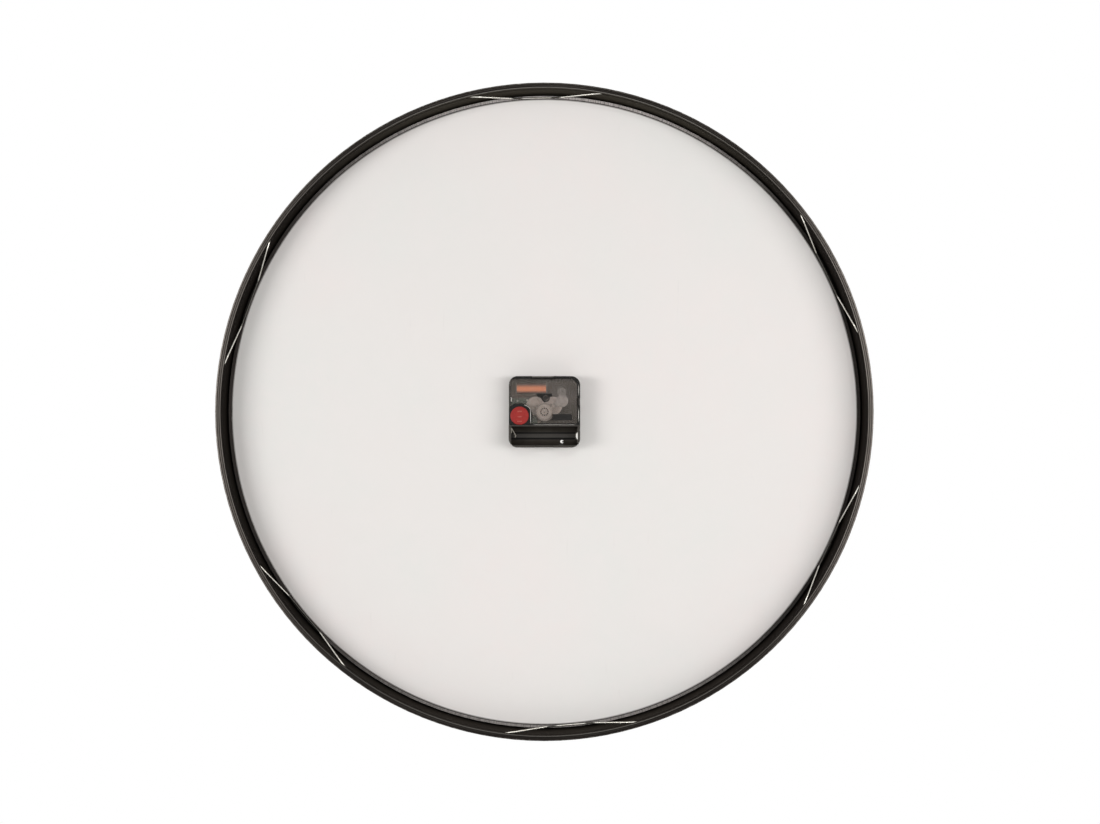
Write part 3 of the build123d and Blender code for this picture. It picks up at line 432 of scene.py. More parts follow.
@dataclass(frozen=True)
class BrushedRing(Finish):
    """Grey ring brushed straight outwards: fine radial scratches over a face that leans to the axis.

    Brushed outwards, the back of the ring has a painted highlight in a bow tie, dark to the sides and bright
    above and below, most of all above, and the ring is painted lighter on its left. The painted highlight
    stops short of the board, leaving a dark seam of painted shade where the board sits in it. Its front is
    plain.
    """

    colour: Colour = (0.0095, 0.0085, 0.0078)
    worn: Colour = (0.022, 0.020, 0.0185)
    # Painted light: the ring is lighter on its left, seen from behind.
    pale: Colour = (0.034, 0.0290, 0.0270)
    # Painted highlight of the bow tie on the back.
    painted_highlight: Colour = (0.62, 0.575, 0.55)
    scratches: float = 2400.0
    scratch_depth: float = 0.00018
    lean: float = 0.002
    lean_from: float = 0.24
    lean_reach: float = 0.02
    back_face: float = -0.0216
    lit_side: Pair = (0.05, 0.20)
    bright_rise: Pair = (-0.1, 0.1)
    below: float = 0.56
    # The painted highlight starts beyond this distance, which leaves a dark seam as painted shade.
    seam: float = 0.2485

    def paint(self, graph: Graph) -> None:
        """Takes the scratches from noise over the angle round the axis, and the lean from the distance.

        Args:
            graph: The material's nodes.
        """
        x, depth, z = graph.xyz
        distance = graph.about()
        back = between(depth, self.back_face - 0.0012, self.back_face - 0.0006)
        angle = maths(Step.ANGLE, z, x)
        turn = join(times(angle, 0.25), times(distance, 0.008), 0.0)
        lines = graph.noise(self.scratches, 2.0, 0.6, turn)
        clouds = graph.noise(60.0, 3.0, 0.6)
        shade = grade(lines, 0.3, 0.7, self.colour, self.worn)
        # Painted light on the ring's left side.
        shade = grade(x, *self.lit_side, shade, self.pale)
        # Painted highlight: a bow tie on the back, bright above and below, brighter above, stopping short of
        # the seam.
        bow = times(
            minus(1.0, graph.sideways(0.3, 0.85)),
            between(z, *self.bright_rise, self.below, 1.0),
            between(lines, 0.2, 0.65),
            between(distance, self.seam, self.seam + 0.0005),
            back,
        )
        slope = over(minus(distance, self.lean_from), self.lean_reach)
        leaning = relief(times(slope, back), self.lean)
        graph.finish(
            base_color=tint(bow, shade, self.painted_highlight),
            roughness=mix(back, 0.5, between(clouds, 0.3, 0.7, 0.22, 0.34)),
            specular_ior_level=0.12,
            specular_tint=WARM_GLOSS,
            normal=relief(times(lines, back), self.scratch_depth, leaning),
        )


@dataclass(frozen=True)
class ClearGlass(Finish):
    """Clear float glass with a breath of green and faint wiping marks."""

    colour: Colour = (0.986, 0.992, 0.986)

    def paint(self, graph: Graph) -> None:
        """Makes smooth glass that lets lamps through to the dial, a little duller where it was wiped.

        Args:
            graph: The material's nodes.
        """
        wiped = graph.noise(1.0, 4.0, 0.65, graph.stretched(9.0, 1.0, 30.0))
        graph.finish(
            base_color=self.colour,
            roughness=between(wiped, 0.45, 0.85, 0.0, 0.035),
            ior=1.52,
            transmission_weight=1.0,
        )
        graph.overlay(graph.ray("Shadow"), "BsdfTransparent", Color=self.colour)


@dataclass(frozen=True)
class MouldedPlastic(Finish):
    """Moulded plastic: spark grain or smooth, a little cloudy, and darker in any bands of painted shade along
    X.
    """

    colour: Colour
    second: Colour
    rough_low: float = 0.35
    rough_high: float = 0.5
    grain: float = 5200.0
    grain_depth: float = 0.000012
    clouds: float = 160.0
    shine: float = 0.5
    # Bands of painted shade along X, by their lower and upper edge, below a given depth, drawn dark and matt.
    shade_bands: tuple[Pair, ...] = ()
    shade_band_top: float = BOARD_BACK + 0.0045
    dull: Colour = (0.004, 0.0034, 0.0027)

    def paint(self, graph: Graph) -> None:
        """Puts fine grain in the relief and clouds in colour and gloss, and paints shade between a band's
        edges.

        Args:
            graph: The material's nodes.
        """
        _, depth, z = graph.xyz
        clouds = graph.noise(self.clouds, 4.0, 0.6)
        shade = grade(clouds, 0.3, 0.7, self.colour, self.second)
        gloss = between(clouds, 0.25, 0.75, self.rough_low, self.rough_high)
        # Painted shade in each band, low in the bay.
        for low, high in self.shade_bands:
            under = fade(depth, self.shade_band_top - 0.0005, self.shade_band_top)
            banded_shade = times(under, band(z, low, high, 0.0002))
            shade = tint(banded_shade, shade, self.dull)
            gloss = mix(banded_shade, gloss, 0.95)
        graph.finish(
            base_color=shade,
            roughness=gloss,
            specular_ior_level=self.shine,
            normal=relief(graph.noise(self.grain, 2.0, 0.55), self.grain_depth),
        )


@dataclass(frozen=True)
class BoardPaint(Finish):
    """White painted hardboard: roller texture, faint warm and cool areas and a few hairline scuffs."""

    colour: Colour = (0.855, 0.823, 0.800)
    warm: Colour = (0.865, 0.817, 0.794)
    cool: Colour = (0.838, 0.820, 0.794)
    scuffed: Colour = (0.80, 0.768, 0.745)
    edge_dark: Colour = (0.17, 0.155, 0.145)
    radius: float = 0.2483

    def paint(self, graph: Graph) -> None:
        """Lays wide clouds, roller stipple, thin stretched scuffs and a darker band along the cut edge.

        Args:
            graph: The material's nodes.
        """
        wide = graph.noise(7.0, 2.0, 0.5)
        middle = graph.noise(55.0, 4.0, 0.6)
        stipple = graph.noise(1150.0, 3.0, 0.6)
        scuffs = graph.noise(1.0, 2.0, 0.5, graph.stretched(420.0, 60.0, 34.0))
        distance = graph.about()
        # A darker band along the board's cut edge.
        edge = between(distance, self.radius - 0.0012, self.radius - 0.0002, 0.0, 0.85)
        shade = grade(wide, 0.36, 0.64, self.warm, self.cool)
        shade = grade(middle, 0.35, 0.7, shade, self.colour, 0.8)
        shade = grade(scuffs, 0.7, 0.82, shade, self.scuffed, 0.5)
        graph.finish(
            base_color=tint(edge, shade, self.edge_dark),
            roughness=between(middle, 0.3, 0.7, 0.5, 0.64),
            specular_ior_level=0.3,
            normal=relief(stipple, 0.00005),
        )


@dataclass(frozen=True)
class DialSheet(Finish):
    """Printed dial card with paper fibre."""

    colour: Colour = (0.86, 0.845, 0.81)
    second: Colour = (0.84, 0.826, 0.795)
    thread: Colour = (0.77, 0.755, 0.72)

    def paint(self, graph: Graph) -> None:
        """Lays fine stretched fibre over faint clouds.

        Args:
            graph: The material's nodes.
        """
        fibre = graph.noise(1.0, 3.0, 0.6, graph.stretched(2600.0, 400.0, 900.0))
        clouds = graph.noise(30.0, 3.0, 0.55)
        shade = grade(clouds, 0.35, 0.7, self.colour, self.second)
        graph.finish(
            base_color=grade(fibre, 0.62, 0.85, shade, self.thread, 0.25),
            roughness=between(fibre, 0.2, 0.8, 0.55, 0.7),
            normal=relief(fibre, 0.00002),
        )


@dataclass(frozen=True)
class SatinEnamel(Finish):
    """Black satin enamel on stamped metal, with brush lines and specks of dust."""

    colour: Colour = (0.014, 0.014, 0.0145)
    dust: Colour = (0.09, 0.088, 0.085)

    def paint(self, graph: Graph) -> None:
        """Puts brushed streaks in gloss and relief, and sparse pale specks in the colour.

        Args:
            graph: The material's nodes.
        """
        x, _, z = graph.xyz
        lines = graph.streaks(plus(x, z), 3200.0, 60.0)
        specks = between(cells(graph.place, 900.0, Cell.MIDDLE), 0.0, 0.09, 0.25, 0.0)
        graph.finish(
            base_color=tint(specks, self.colour, self.dust),
            roughness=between(lines, 0.2, 0.8, 0.27, 0.42),
            normal=relief(lines, 0.000012),
        )


@dataclass(frozen=True)
class DrawnMetal(Finish):
    """Bare or plated metal with drawing lines and faint stains."""

    colour: Colour
    stain: Colour
    axis: int = 0
    rough_low: float = 0.2
    rough_high: float = 0.36
    lines_per_metre: float = 4200.0
    shine: float = 1.0

    def wear(self, graph: Graph, shade: Socket) -> Socket:
        """Gives the colour as it is: plain drawn metal has no wear of its own."""
        return shade

    def paint(self, graph: Graph) -> None:
        """Spaces lines along one axis and lays stains in clouds.

        Args:
            graph: The material's nodes.
        """
        lines = graph.streaks(graph.xyz[self.axis], self.lines_per_metre, 45.0, 3.0)
        shade = grade(graph.noise(230.0, 4.0, 0.62), 0.42, 0.72, self.colour, self.stain)
        graph.finish(
            base_color=self.wear(graph, shade),
            metallic=self.shine,
            roughness=between(lines, 0.2, 0.8, self.rough_low, self.rough_high),
            normal=relief(lines, 0.000008),
        )


@dataclass(frozen=True)
class SpringWire(DrawnMetal):
    """Drawn spring wire: bright along the back of its legs, with painted shade on its flanks and in its
    middle.

    The wires above and below the axis keep most of their bright colour in the middle, with the painted shade
    left at the bends.
    """

    colour: Colour = (0.80, 0.775, 0.71)
    stain: Colour = (0.62, 0.59, 0.52)
    axis: int = 1
    # Painted shade in the middle of each wire.
    shaded: Colour = (0.022, 0.019, 0.016)
    # Painted shade on the flanks, where a face looks away from behind.
    flank: Colour = (0.050, 0.044, 0.037)
    low: float = -0.0203
    high: float = -0.0188
    # Spots about which the middle keeps most of its bright colour, the painted shade mostly left out.
    rubbed: tuple[Pair, ...] = ((0.0065, 0.2497), (-0.0209, -0.2490))
    unshaded_reach: float = 0.0115

    # On spring wire this paints shade: dark flanks and a dark middle.
    def wear(self, graph: Graph, shade: Socket) -> Socket:
        """Tells the middle from the legs by depth, and the crown from the flanks by the way a face looks.

        Args:
            graph: The material's nodes.
            shade: The stained colour.

        Returns:
            The colour with painted shade on the flanks and in the middle.
        """
        middle = fade(graph.xyz[1], self.low, self.high)
        for spot in self.rubbed:
            away = graph.about(spot)
            beyond = between(away, self.unshaded_reach - 0.0015, self.unshaded_reach + 0.0015, 0.25, 0.97)
            middle = times(middle, beyond)
        _, backward, _ = parts(add(graph.tree, "TexCoord", {}, "Normal"))
        return tint(middle, grade(backward, 0.30, 0.56, self.flank, shade), self.shaded)


@dataclass(frozen=True)
class RivetHead(Finish):
    """Bright rivet head with a dark pricked eye beside its middle."""

    colour: Colour = (0.90, 0.885, 0.85)
    pricked: Colour = (0.03, 0.027, 0.024)
    eye: Pair = (-0.0145, -0.0236)
    reach: float = 0.0007

    def paint(self, graph: Graph) -> None:
        """Darkens within a distance of the eye and scratches the rest.

        Args:
            graph: The material's nodes.
        """
        away = graph.about(self.eye)
        scratches = graph.noise(2600.0, 3.0)
        dark = fade(away, self.reach - 0.0002, self.reach + 0.0001)
        graph.finish(
            base_color=tint(dark, self.colour, self.pricked),
            metallic=0.9,
            roughness=between(scratches, 0.25, 0.75, 0.2, 0.36),
            normal=relief(scratches, 0.00001),
        )


@dataclass(frozen=True)
class ContactPlate(Finish):
    """Contact plate, dark but for a bright stripe across the bay's axis over its tab and button."""

    dark_plate: Colour = (0.085, 0.078, 0.066)
    bright: Colour = (0.80, 0.785, 0.745)
    middle: Pair = (-0.0262, -0.0189)
    across: float = 0.0014
    upright: float = 0.0026

    def paint(self, graph: Graph) -> None:
        """Brightens within an ellipse about the bay's end and darkens beyond it.

        Args:
            graph: The material's nodes.
        """
        x, _, z = graph.xyz
        wide = over(minus(x, self.middle[0]), self.across)
        high = over(minus(z, self.middle[1]), self.upright)
        stains = graph.noise(700.0, 4.0, 0.6)
        edge = plus(length(wide, 0.0, high), between(stains, 0.2, 0.8, -0.1, 0.1))
        # Share of the bright stripe, over the plate's whole height.
        worn = fade(edge, 0.9, 1.1)
        graph.finish(
            base_color=tint(worn, self.dark_plate, self.bright),
            metallic=0.9,
            roughness=between(worn, 0.0, 1.0, 0.55, 0.22),
            normal=relief(graph.noise(2600.0), 0.00001),
        )


@dataclass(frozen=True)
class SmokeCover(Finish):
    """Smoke-coloured clear plastic: what lies under it shows through, dimmed and a little brown.

    The knob's well, the dashes round the hand axis, the plain recessed panel, the borders and the patch over
    the motor, between the two wheels that flank it, are dark.
    """

    colour: Colour = (0.24, 0.208, 0.178)
    thick: Colour = (0.275, 0.240, 0.206)
    haze: Colour = (0.40, 0.345, 0.315)
    dark: Colour = (0.0095, 0.0085, 0.0072)
    veil: float = 0.13
    shut_alpha: float = 0.88
    top: float = BOARD_BACK + 0.016
    well_axis: Pair = (0.0195, -0.0031)
    well_radius: float = 0.0095
    dash_ring: float = 0.0028
    dashes: int = 12
    panel_x: Pair = (-0.0216, -0.0058)
    panel_z: Pair = (-0.0068, -0.0016)
    motor_low: Pair = (0.0070, 0.0080)
    motor_high: Pair = (0.0140, 0.0147)
    motor_half: Pair = (0.0056, 0.0064)
    wheels: tuple[tuple[Pair, float], ...] = ((THIRD_AXIS, 0.0076), (INTERMEDIATE_AXIS, 0.0074))
    rotor_axis: Pair = (-0.0010, 0.0109)
    rotor_reach: float = 0.0033
    rotor_ring: float = 0.0019
    corner: float = 0.0196
    border: float = 0.0063
    low_edge: float = -0.0094
    upper_shade: Pair = (0.0195, 0.0262)
    haze_foot: Pair = (0.002, 0.012)
    haze_head: Pair = (0.010, 0.024)
    haze_left: Pair = (-0.012, 0.014)
    haze_right: Pair = (-0.026, -0.012)

    def recesses(self, graph: Graph) -> Socket:
        """Finds the places that are drawn dark.

        Args:
            graph: The material's nodes.

        Returns:
            1 in the knob's well, the dashes round the hand axis and the recessed panel.
        """
        x, y, z = graph.xyz
        away = graph.about(self.well_axis)
        well = times(
            fade(y, self.top - 0.0016, self.top - 0.0013),
            fade(away, self.well_radius, self.well_radius + 0.0015),
        )
        hub = graph.about()
        beat = maths(Step.COSINE, times(maths(Step.ANGLE, z, x), float(self.dashes)))
        dashes = times(
            between(beat, -0.55, -0.2),
            fade(apart(hub, self.dash_ring), 0.0004, 0.0006),
            between(y, self.top - 0.0006, self.top - 0.0005),
        )
        panel = times(
            band(y, self.top - 0.00055, self.top - 0.00015, 0.00005),
            band(x, *self.panel_x, 0.0001),
            band(z, *self.panel_z, 0.0001),
        )
        return most(well, dashes, panel)

    def motor(self, graph: Graph) -> Socket:
        """Finds the patch over the motor: a bar cut by the two wheels, with the rotor's disc and paler ring.

        Args:
            graph: The material's nodes.

        Returns:
            The patch's share of dark.
        """
        x, _, z = graph.xyz
        patch = times(
            between(z, *self.motor_low),
            fade(z, *self.motor_high),
            fade(maths(Step.SIZE, x), *self.motor_half),
        )
        for axis, reach in self.wheels:
            away = graph.about(axis_at(*axis))
            patch = times(patch, between(away, reach - 0.0001, reach + 0.0003))
        rotor = graph.about(self.rotor_axis)
        disc = fade(rotor, self.rotor_reach - 0.0003, self.rotor_reach + 0.0003)
        ring = apart(rotor, self.rotor_ring)
        return times(most(patch, disc), between(ring, 0.0002, 0.0006, 0.32, 0.63))

    def borders(self, graph: Graph) -> Socket:
        """Finds the dark borders: rounded right and above, straight below, with a soft shade at the top.

        Args:
            graph: The material's nodes.

        Returns:
            The borders' share of dark.
        """
        x, _, z = graph.xyz
        right = most(minus(times(x, -1.0), self.corner), 0.0)
        rise = most(minus(z, self.corner), 0.0)
        out = length(right, 0.0, rise)
        return most(
            between(out, self.border - 0.0004, self.border + 0.0002, 0.0, 0.7),
            between(z, self.low_edge, self.low_edge + 0.0005, 0.7, 0.0),
            between(z, *self.upper_shade, 0.0, 0.24),
        )

    def paint(self, graph: Graph) -> None:
        """Draws a thin veil with faint flow clouds and a haze over the wheels, dark where it is shut.

        Args:
            graph: The material's nodes.
        """
        x, _, z = graph.xyz
        flow = graph.noise(190.0, 3.0, 0.6, graph.stretched(1.0, 1.0, 0.45))
        shut = most(self.recesses(graph), self.motor(graph), self.borders(graph))
        hazy = times(
            between(z, *self.haze_foot),
            between(x, *self.haze_left, 1.0, 0.35),
            between(z, *self.haze_head, 1.0, 0.4),
            between(x, *self.haze_right, 0.55, 1.0),
        )
        clear = grade(flow, 0.3, 0.7, self.colour, self.thick)
        clear = tint(hazy, clear, self.haze)
        veil = between(flow, 0.25, 0.75, self.veil - 0.02, self.veil + 0.02)
        veil = plus(veil, times(hazy, 0.03))
        graph.finish(
            base_color=grade(shut, 0.0, 0.4, clear, self.dark),
            roughness=between(flow, 0.3, 0.7, 0.1, 0.2),
            ior=1.49,
            specular_ior_level=0.3,
            alpha=mix(shut, veil, self.shut_alpha),
            normal=relief(graph.noise(2400.0, 2.0, 0.5), 0.000006),
        )


@dataclass(frozen=True)
class CoilWire(Finish):
    """Fine lacquered copper wire in even turns side by side, painted shade between turns and at top and
    bottom.
    """

    colour: Colour = (0.90, 0.262, 0.094)
    glint: Colour = (0.98, 0.36, 0.17)
    # Painted shade between the turns.
    gap: Colour = (0.50, 0.115, 0.035)
    # Painted shade towards the top and bottom of the round winding.
    under: Colour = (0.10, 0.048, 0.042)
    middle: float = 0.0181
    shaded_from_middle: Pair = (0.0005, 0.0040)
    turns_per_metre: float = 6200.0
    drift: float = 0.00022

    def paint(self, graph: Graph) -> None:
        """Makes one ridge per turn along X, a little uneven from turn to turn.

        Args:
            graph: The material's nodes.
        """
        x, _, z = graph.xyz
        drift = times(graph.noise(420.0, 2.0), self.drift)
        phase = times(plus(x, drift), math.tau * self.turns_per_metre)
        ridge = plus(times(maths(Step.SINE, phase), 0.5), 0.5)
        turns = graph.streaks(x, 2100.0, 20.0)
        # Painted shade in the troughs between turns.
        shade = grade(ridge, 0.0, 0.45, self.gap, self.colour)
        shade = grade(turns, 0.3, 0.75, shade, self.glint, 0.45)
        # Painted shade away from the winding's middle, above and below.
        off = apart(z, self.middle)
        graph.finish(
            base_color=grade(off, *self.shaded_from_middle, shade, self.under, 0.97),
            metallic=0.3,
            roughness=between(turns, 0.2, 0.8, 0.26, 0.4),
            coat_weight=0.35,
            coat_roughness=0.2,
            normal=relief(ridge, 0.00003),
        )


@dataclass(frozen=True)
class CircuitGreen(Finish):
    """Green solder mask over copper tracks."""

    mask: Colour = (0.010, 0.028, 0.017)
    track: Colour = (0.018, 0.050, 0.028)
    hole: Colour = (0.006, 0.012, 0.008)

    def paint(self, graph: Graph) -> None:
        """Lets cells stand for copper, their borders for gaps and the middles of finer cells for holes.

        Args:
            graph: The material's nodes.
        """
        x, _, z = graph.xyz
        flat = join(x, 0.0, z)
        copper = between(cells(flat, 420.0, Cell.BORDER), 0.05, 0.09)
        solid = between(cells(flat, 780.0, Cell.MIDDLE), 0.05, 0.1)
        clouds = graph.noise(800.0, 3.0)
        graph.finish(
            base_color=tint(solid, self.hole, tint(copper, self.mask, self.track)),
            roughness=between(clouds, 0.2, 0.8, 0.22, 0.36),
            normal=relief(copper, 0.00003),
        )


@dataclass(frozen=True)
class NaturalNylon(Finish):
    """Milky natural nylon of a moulded wheel, with turned rings round its own axis and oiled teeth."""

    centre: Pair = HAND_AXIS
    colour: Colour = (0.46, 0.377, 0.330)
    second: Colour = (0.41, 0.333, 0.290)
    oiled: Colour = (0.21, 0.170, 0.146)
    clean: float = 0.0090

    def paint(self, graph: Graph) -> None:
        """Lays rings in distance from the wheel's axis and lets light soak in a little.

        Args:
            graph: The material's nodes.
        """
        distance = graph.about(self.centre)
        rings = graph.streaks(distance, 1700.0, 60.0)
        clouds = graph.noise(520.0, 3.0)
        milk = grade(clouds, 0.3, 0.75, self.colour, self.second)
        teeth = between(distance, self.clean - 0.0003, self.clean + 0.0005, 0.0, 0.9)
        graph.soak(0.3, 0.0012, 0.001, 0.0008)
        graph.finish(
            base_color=tint(teeth, milk, self.oiled),
            roughness=between(rings, 0.2, 0.8, 0.34, 0.5),
            normal=relief(rings, 0.00004),
        )


@dataclass(frozen=True)
class BridgeNylon(Finish):
    """Nylon of the bridge: milky at the arbors, greyed with dust and oil towards its upper post."""

    colour: Colour = (0.325, 0.280, 0.253)
    second: Colour = (0.285, 0.246, 0.222)
    greyed: Colour = (0.105, 0.092, 0.082)
    low: float = 0.0095
    high: float = 0.0150

    def paint(self, graph: Graph) -> None:
        """Lets the grey rise with height, its border wavering with a noise.

        Args:
            graph: The material's nodes.
        """
        _, _, z = graph.xyz
        clouds = graph.noise(420.0, 4.0, 0.6)
        rise = plus(z, between(clouds, 0.2, 0.8, -0.001, 0.001))
        clean = grade(clouds, 0.3, 0.7, self.colour, self.second)
        graph.soak(0.2, 0.0011, 0.0009, 0.0007)
        graph.finish(
            base_color=grade(rise, self.low, self.high, clean, self.greyed),
            roughness=between(clouds, 0.25, 0.75, 0.36, 0.52),
            normal=relief(graph.noise(3800.0), 0.00001),
        )


@dataclass(frozen=True)
class KnobRed(Finish):
    """Red knob plastic whose raised marks have pale mottled tops, a painted highlight."""

    colour: Colour = (0.34, 0.022, 0.018)
    second: Colour = (0.28, 0.018, 0.015)
    # Pale tops on the raised marks: painted highlight, mottled.
    rubbed: Colour = (0.40, 0.085, 0.068)
    mark_top: float = BOARD_BACK + 0.0152

    def paint(self, graph: Graph) -> None:
        """Lifts the colour above the disc's face and lays grain all over.

        Args:
            graph: The material's nodes.
        """
        _, y, _ = graph.xyz
        clouds = graph.noise(650.0, 3.0)
        raised = between(y, self.mark_top + 0.00015, self.mark_top + 0.00038)
        # Painted highlight on the tops of the raised marks.
        worn = times(raised, between(clouds, 0.25, 0.6))
        shade = grade(clouds, 0.35, 0.75, self.colour, self.second)
        graph.soak(0.1, 0.0008, 0.0002, 0.0002)
        graph.finish(
            base_color=tint(worn, shade, self.rubbed),
            specular_ior_level=0.25,
            roughness=between(clouds, 0.2, 0.8, 0.42, 0.56),
            normal=relief(graph.noise(4200.0), 0.000012),
        )


@dataclass(frozen=True)
class PaleFloor(Finish):
    """Pale mottled floor that passes into the white room towards its edge."""

    colour: Colour = (0.88, 0.88, 0.875)
    second: Colour = (0.86, 0.86, 0.855)
    plain: float = 0.45
    gone: float = 0.98

    def paint(self, graph: Graph) -> None:
        """Mottles the floor and lets it shine white, more with distance, where the eye sees it.

        Args:
            graph: The material's nodes.
        """
        x, y, _ = graph.xyz
        shade = grade(graph.noise(40.0, 4.0), 0.3, 0.7, self.colour, self.second)
        graph.finish(base_color=shade, roughness=0.8)
        rim = between(length(x, y, 0.0), self.plain, self.gone, 0.55, 1.0)
        graph.overlay(times(rim, graph.seen()), "Emission", Color=WHITE, Strength=1.0)


def grid_faces(rows: int, columns: int, closed: bool = False) -> np.ndarray:
    """Gives the quads of a grid of points whose last column joins the first.

    Point (i, j) has the number i * columns + j, and a quad joins (i, j), (i, j+1), (i+1, j+1), (i+1, j).

    Args:
        rows: Points along the first parameter.
        columns: Points along the second parameter.
        closed: Whether the last row joins the first too.

    Returns:
        Point numbers, four per quad.
    """
    grids = np.meshgrid(np.arange(rows - (not closed)), np.arange(columns), indexing="ij")
    i, j = (grid.ravel() for grid in grids)
    below, beside = (i + 1) % rows, (j + 1) % columns
    corners = [i * columns + j, i * columns + beside, below * columns + beside, below * columns + j]
    return np.stack(corners, axis=1)


def turned_points(profile: np.ndarray, centre: Point, steps: int) -> np.ndarray:
    """Turns a profile round an axis along Y: (r cos t, h, r sin t) about the centre for t over a full turn.

    Args:
        profile: Rows of distance from the axis and height along Y.
        centre: Where the axis is and heights start.
        steps: Points round the turn.

    Returns:
        Points as rows, profile first and turn second.
    """
    turn = np.linspace(0.0, 2 * np.pi, steps, endpoint=False)
    away, height = profile[:, :1], np.repeat(profile[:, 1:], steps, axis=1)
    points = np.stack([away * np.cos(turn), height, away * np.sin(turn)], axis=-1)
    return points.reshape(-1, 3) + np.array(centre)


def tube_points(path: np.ndarray, radius: float, steps: int) -> np.ndarray:
    """Carries a circle along a path: path(s) + r (n cos t + b sin t), n and b square to the path.

    The radius is 0 at both ends, so the tube is closed there.

    Args:
        path: Points of the path as rows.
        radius: The circle's radius.
        steps: Points round the circle.

    Returns:
        Points as rows, path first and circle second.
    """
    radii = np.full(len(path), radius)
    radii[[0, -1]] = 0.0
    along = np.gradient(path, axis=0)
    along /= np.linalg.norm(along, axis=1, keepdims=True)
    askew = np.array([0.31, 0.17, 0.93])
    first = np.cross(along, askew)
    first /= np.linalg.norm(first, axis=1, keepdims=True)
    second = np.cross(along, first)
    turn = np.linspace(0.0, 2 * np.pi, steps, endpoint=False)[None, :, None]
    ring = first[:, None, :] * np.cos(turn) + second[:, None, :] * np.sin(turn)
    return (path[:, None, :] + radii[:, None, None] * ring).reshape(-1, 3)


def swing(points: list[Point], steps: int) -> np.ndarray:
    """Gives a smooth line through a few points, the Bernstein sum of the points over 0 to 1.

    Args:
        points: Where the line starts, is drawn towards and ends.
        steps: Points wanted along it.

    Returns:
        Points of the line as rows.
    """
    share = np.linspace(0.0, 1.0, steps)[:, None]
    order = len(points) - 1
    weights = [math.comb(order, k) * share**k * (1 - share) ** (order - k) for k in range(order + 1)]
    return sum(weight * np.array(point) for weight, point in zip(weights, points))


def closed_mesh(name: str, points: np.ndarray, faces: np.ndarray) -> bpy.types.Mesh:
    """Puts points and faces into a mesh, closes its seams and turns its faces outwards.

    Args:
        name: The mesh's name.
        points: Rows of X, Y and Z in metres.
        faces: Rows of point numbers.

    Returns:
        The mesh.
    """
    mesh = bpy.data.meshes.new(name)
    mesh.from_pydata(points.tolist(), [], faces.tolist())
    work = bmesh.new()
    work.from_mesh(mesh)
    bmesh.ops.remove_doubles(work, verts=work.verts, dist=SEAM)
    bmesh.ops.dissolve_degenerate(work, edges=work.edges, dist=SLIVER)
    bmesh.ops.recalc_face_normals(work, faces=work.faces)
    work.to_mesh(mesh)
    work.free()
    return mesh


def stand(name: str, data: bpy.types.ID) -> bpy.types.Object:
    """Stands something in the scene.

    Args:
        name: Its name.
        data: The mesh, the lamp or the camera.

    Returns:
        The object.
    """
    thing = bpy.data.objects.new(name, data)
    bpy.context.scene.collection.objects.link(thing)
    return thing


@dataclass
class Piece:
    """A new piece made of worked-out points."""

    name: str
    body: Body
    slot: str
    finish: Material
    smooth: bool = True

    def build(self, points: np.ndarray, faces: np.ndarray) -> None:
        """Makes the piece's mesh and lets it ride on its body.

        Args:
            points: Rows of X, Y and Z in metres.
            faces: Rows of point numbers.
        """
        mesh = closed_mesh(self.name, points, faces)
        mesh.polygons.foreach_set("use_smooth", np.full(len(mesh.polygons), self.smooth))
        mesh.materials.append(self.finish)
        piece = stand(self.name, mesh)
        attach(piece, self.body.value)
        LOG.info("piece %s: %d faces on %s", self.name, len(mesh.polygons), self.body.value)


def worn_by(node: str) -> Material:
    """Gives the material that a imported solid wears."""
    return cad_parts[node].active_material


@dataclass
class Case:
    """Rim, glass, dial, board and the spring wires that hold them."""

    dial_front: float = -0.0253
    track_inner: float = 0.2330
    track_outer: float = 0.2405
    minute_width: float = 0.0009
    hour_width: float = 0.0021
    print_height: float = 0.00004
    minutes: int = 60
    hour_spacing: int = 5
    wires: int = 6

    def dress(self) -> None:
        """Gives the case's solids their finishes."""
        TurnedBlack().make("turned_black_rim", "rim")
        ClearGlass().make("clear_front_glass", "front_glass")
        BrushedRing().make("brushed_ring", "dial_ring")
        BoardPaint().make("painted_board", "dial_board")
        DialSheet().make("dial_card", "dial_face")
        SatinEnamel().make("black_enamel", "hour_markers")
        SpringWire().make("spring_wire", *(f"wire_clip_{number}" for number in range(1, self.wires + 1)))

    def build(self) -> None:
        """Prints the minute track: a low bar per minute set round the dial, each fifth one wide.

        The corner at distance r and offset a of a bar at angle t lies at
        (r sin t + a cos t, y, r cos t - a sin t).
        """
        number = np.arange(self.minutes)[:, None]
        sine, cosine = np.sin(number * math.tau / self.minutes), np.cos(number * math.tau / self.minutes)
        half = np.where(number % self.hour_spacing == 0, self.hour_width, self.minute_width) / 2
        away = np.array([self.track_inner, self.track_outer])[[0, 1, 1, 0, 0, 1, 1, 0]]
        across = half * np.array([-1, -1, 1, 1, -1, -1, 1, 1])
        depth = self.dial_front - self.print_height * np.array([0, 0, 0, 0, 1, 1, 1, 1])
        depth = np.broadcast_to(depth, across.shape)
        points = np.stack([away * sine + across * cosine, depth, away * cosine - across * sine], axis=-1)
        box = np.array([[0, 1, 2, 3], [4, 5, 6, 7], [0, 1, 5, 4], [1, 2, 6, 5], [2, 3, 7, 6], [3, 0, 4, 7]])
        faces = box[None] + 8 * number[:, :, None]
        track = Piece("minute_track", Body.CASE, "marker", worn_by("hour_markers"), False)
        track.build(points.reshape(-1, 3), faces.reshape(-1, 4))


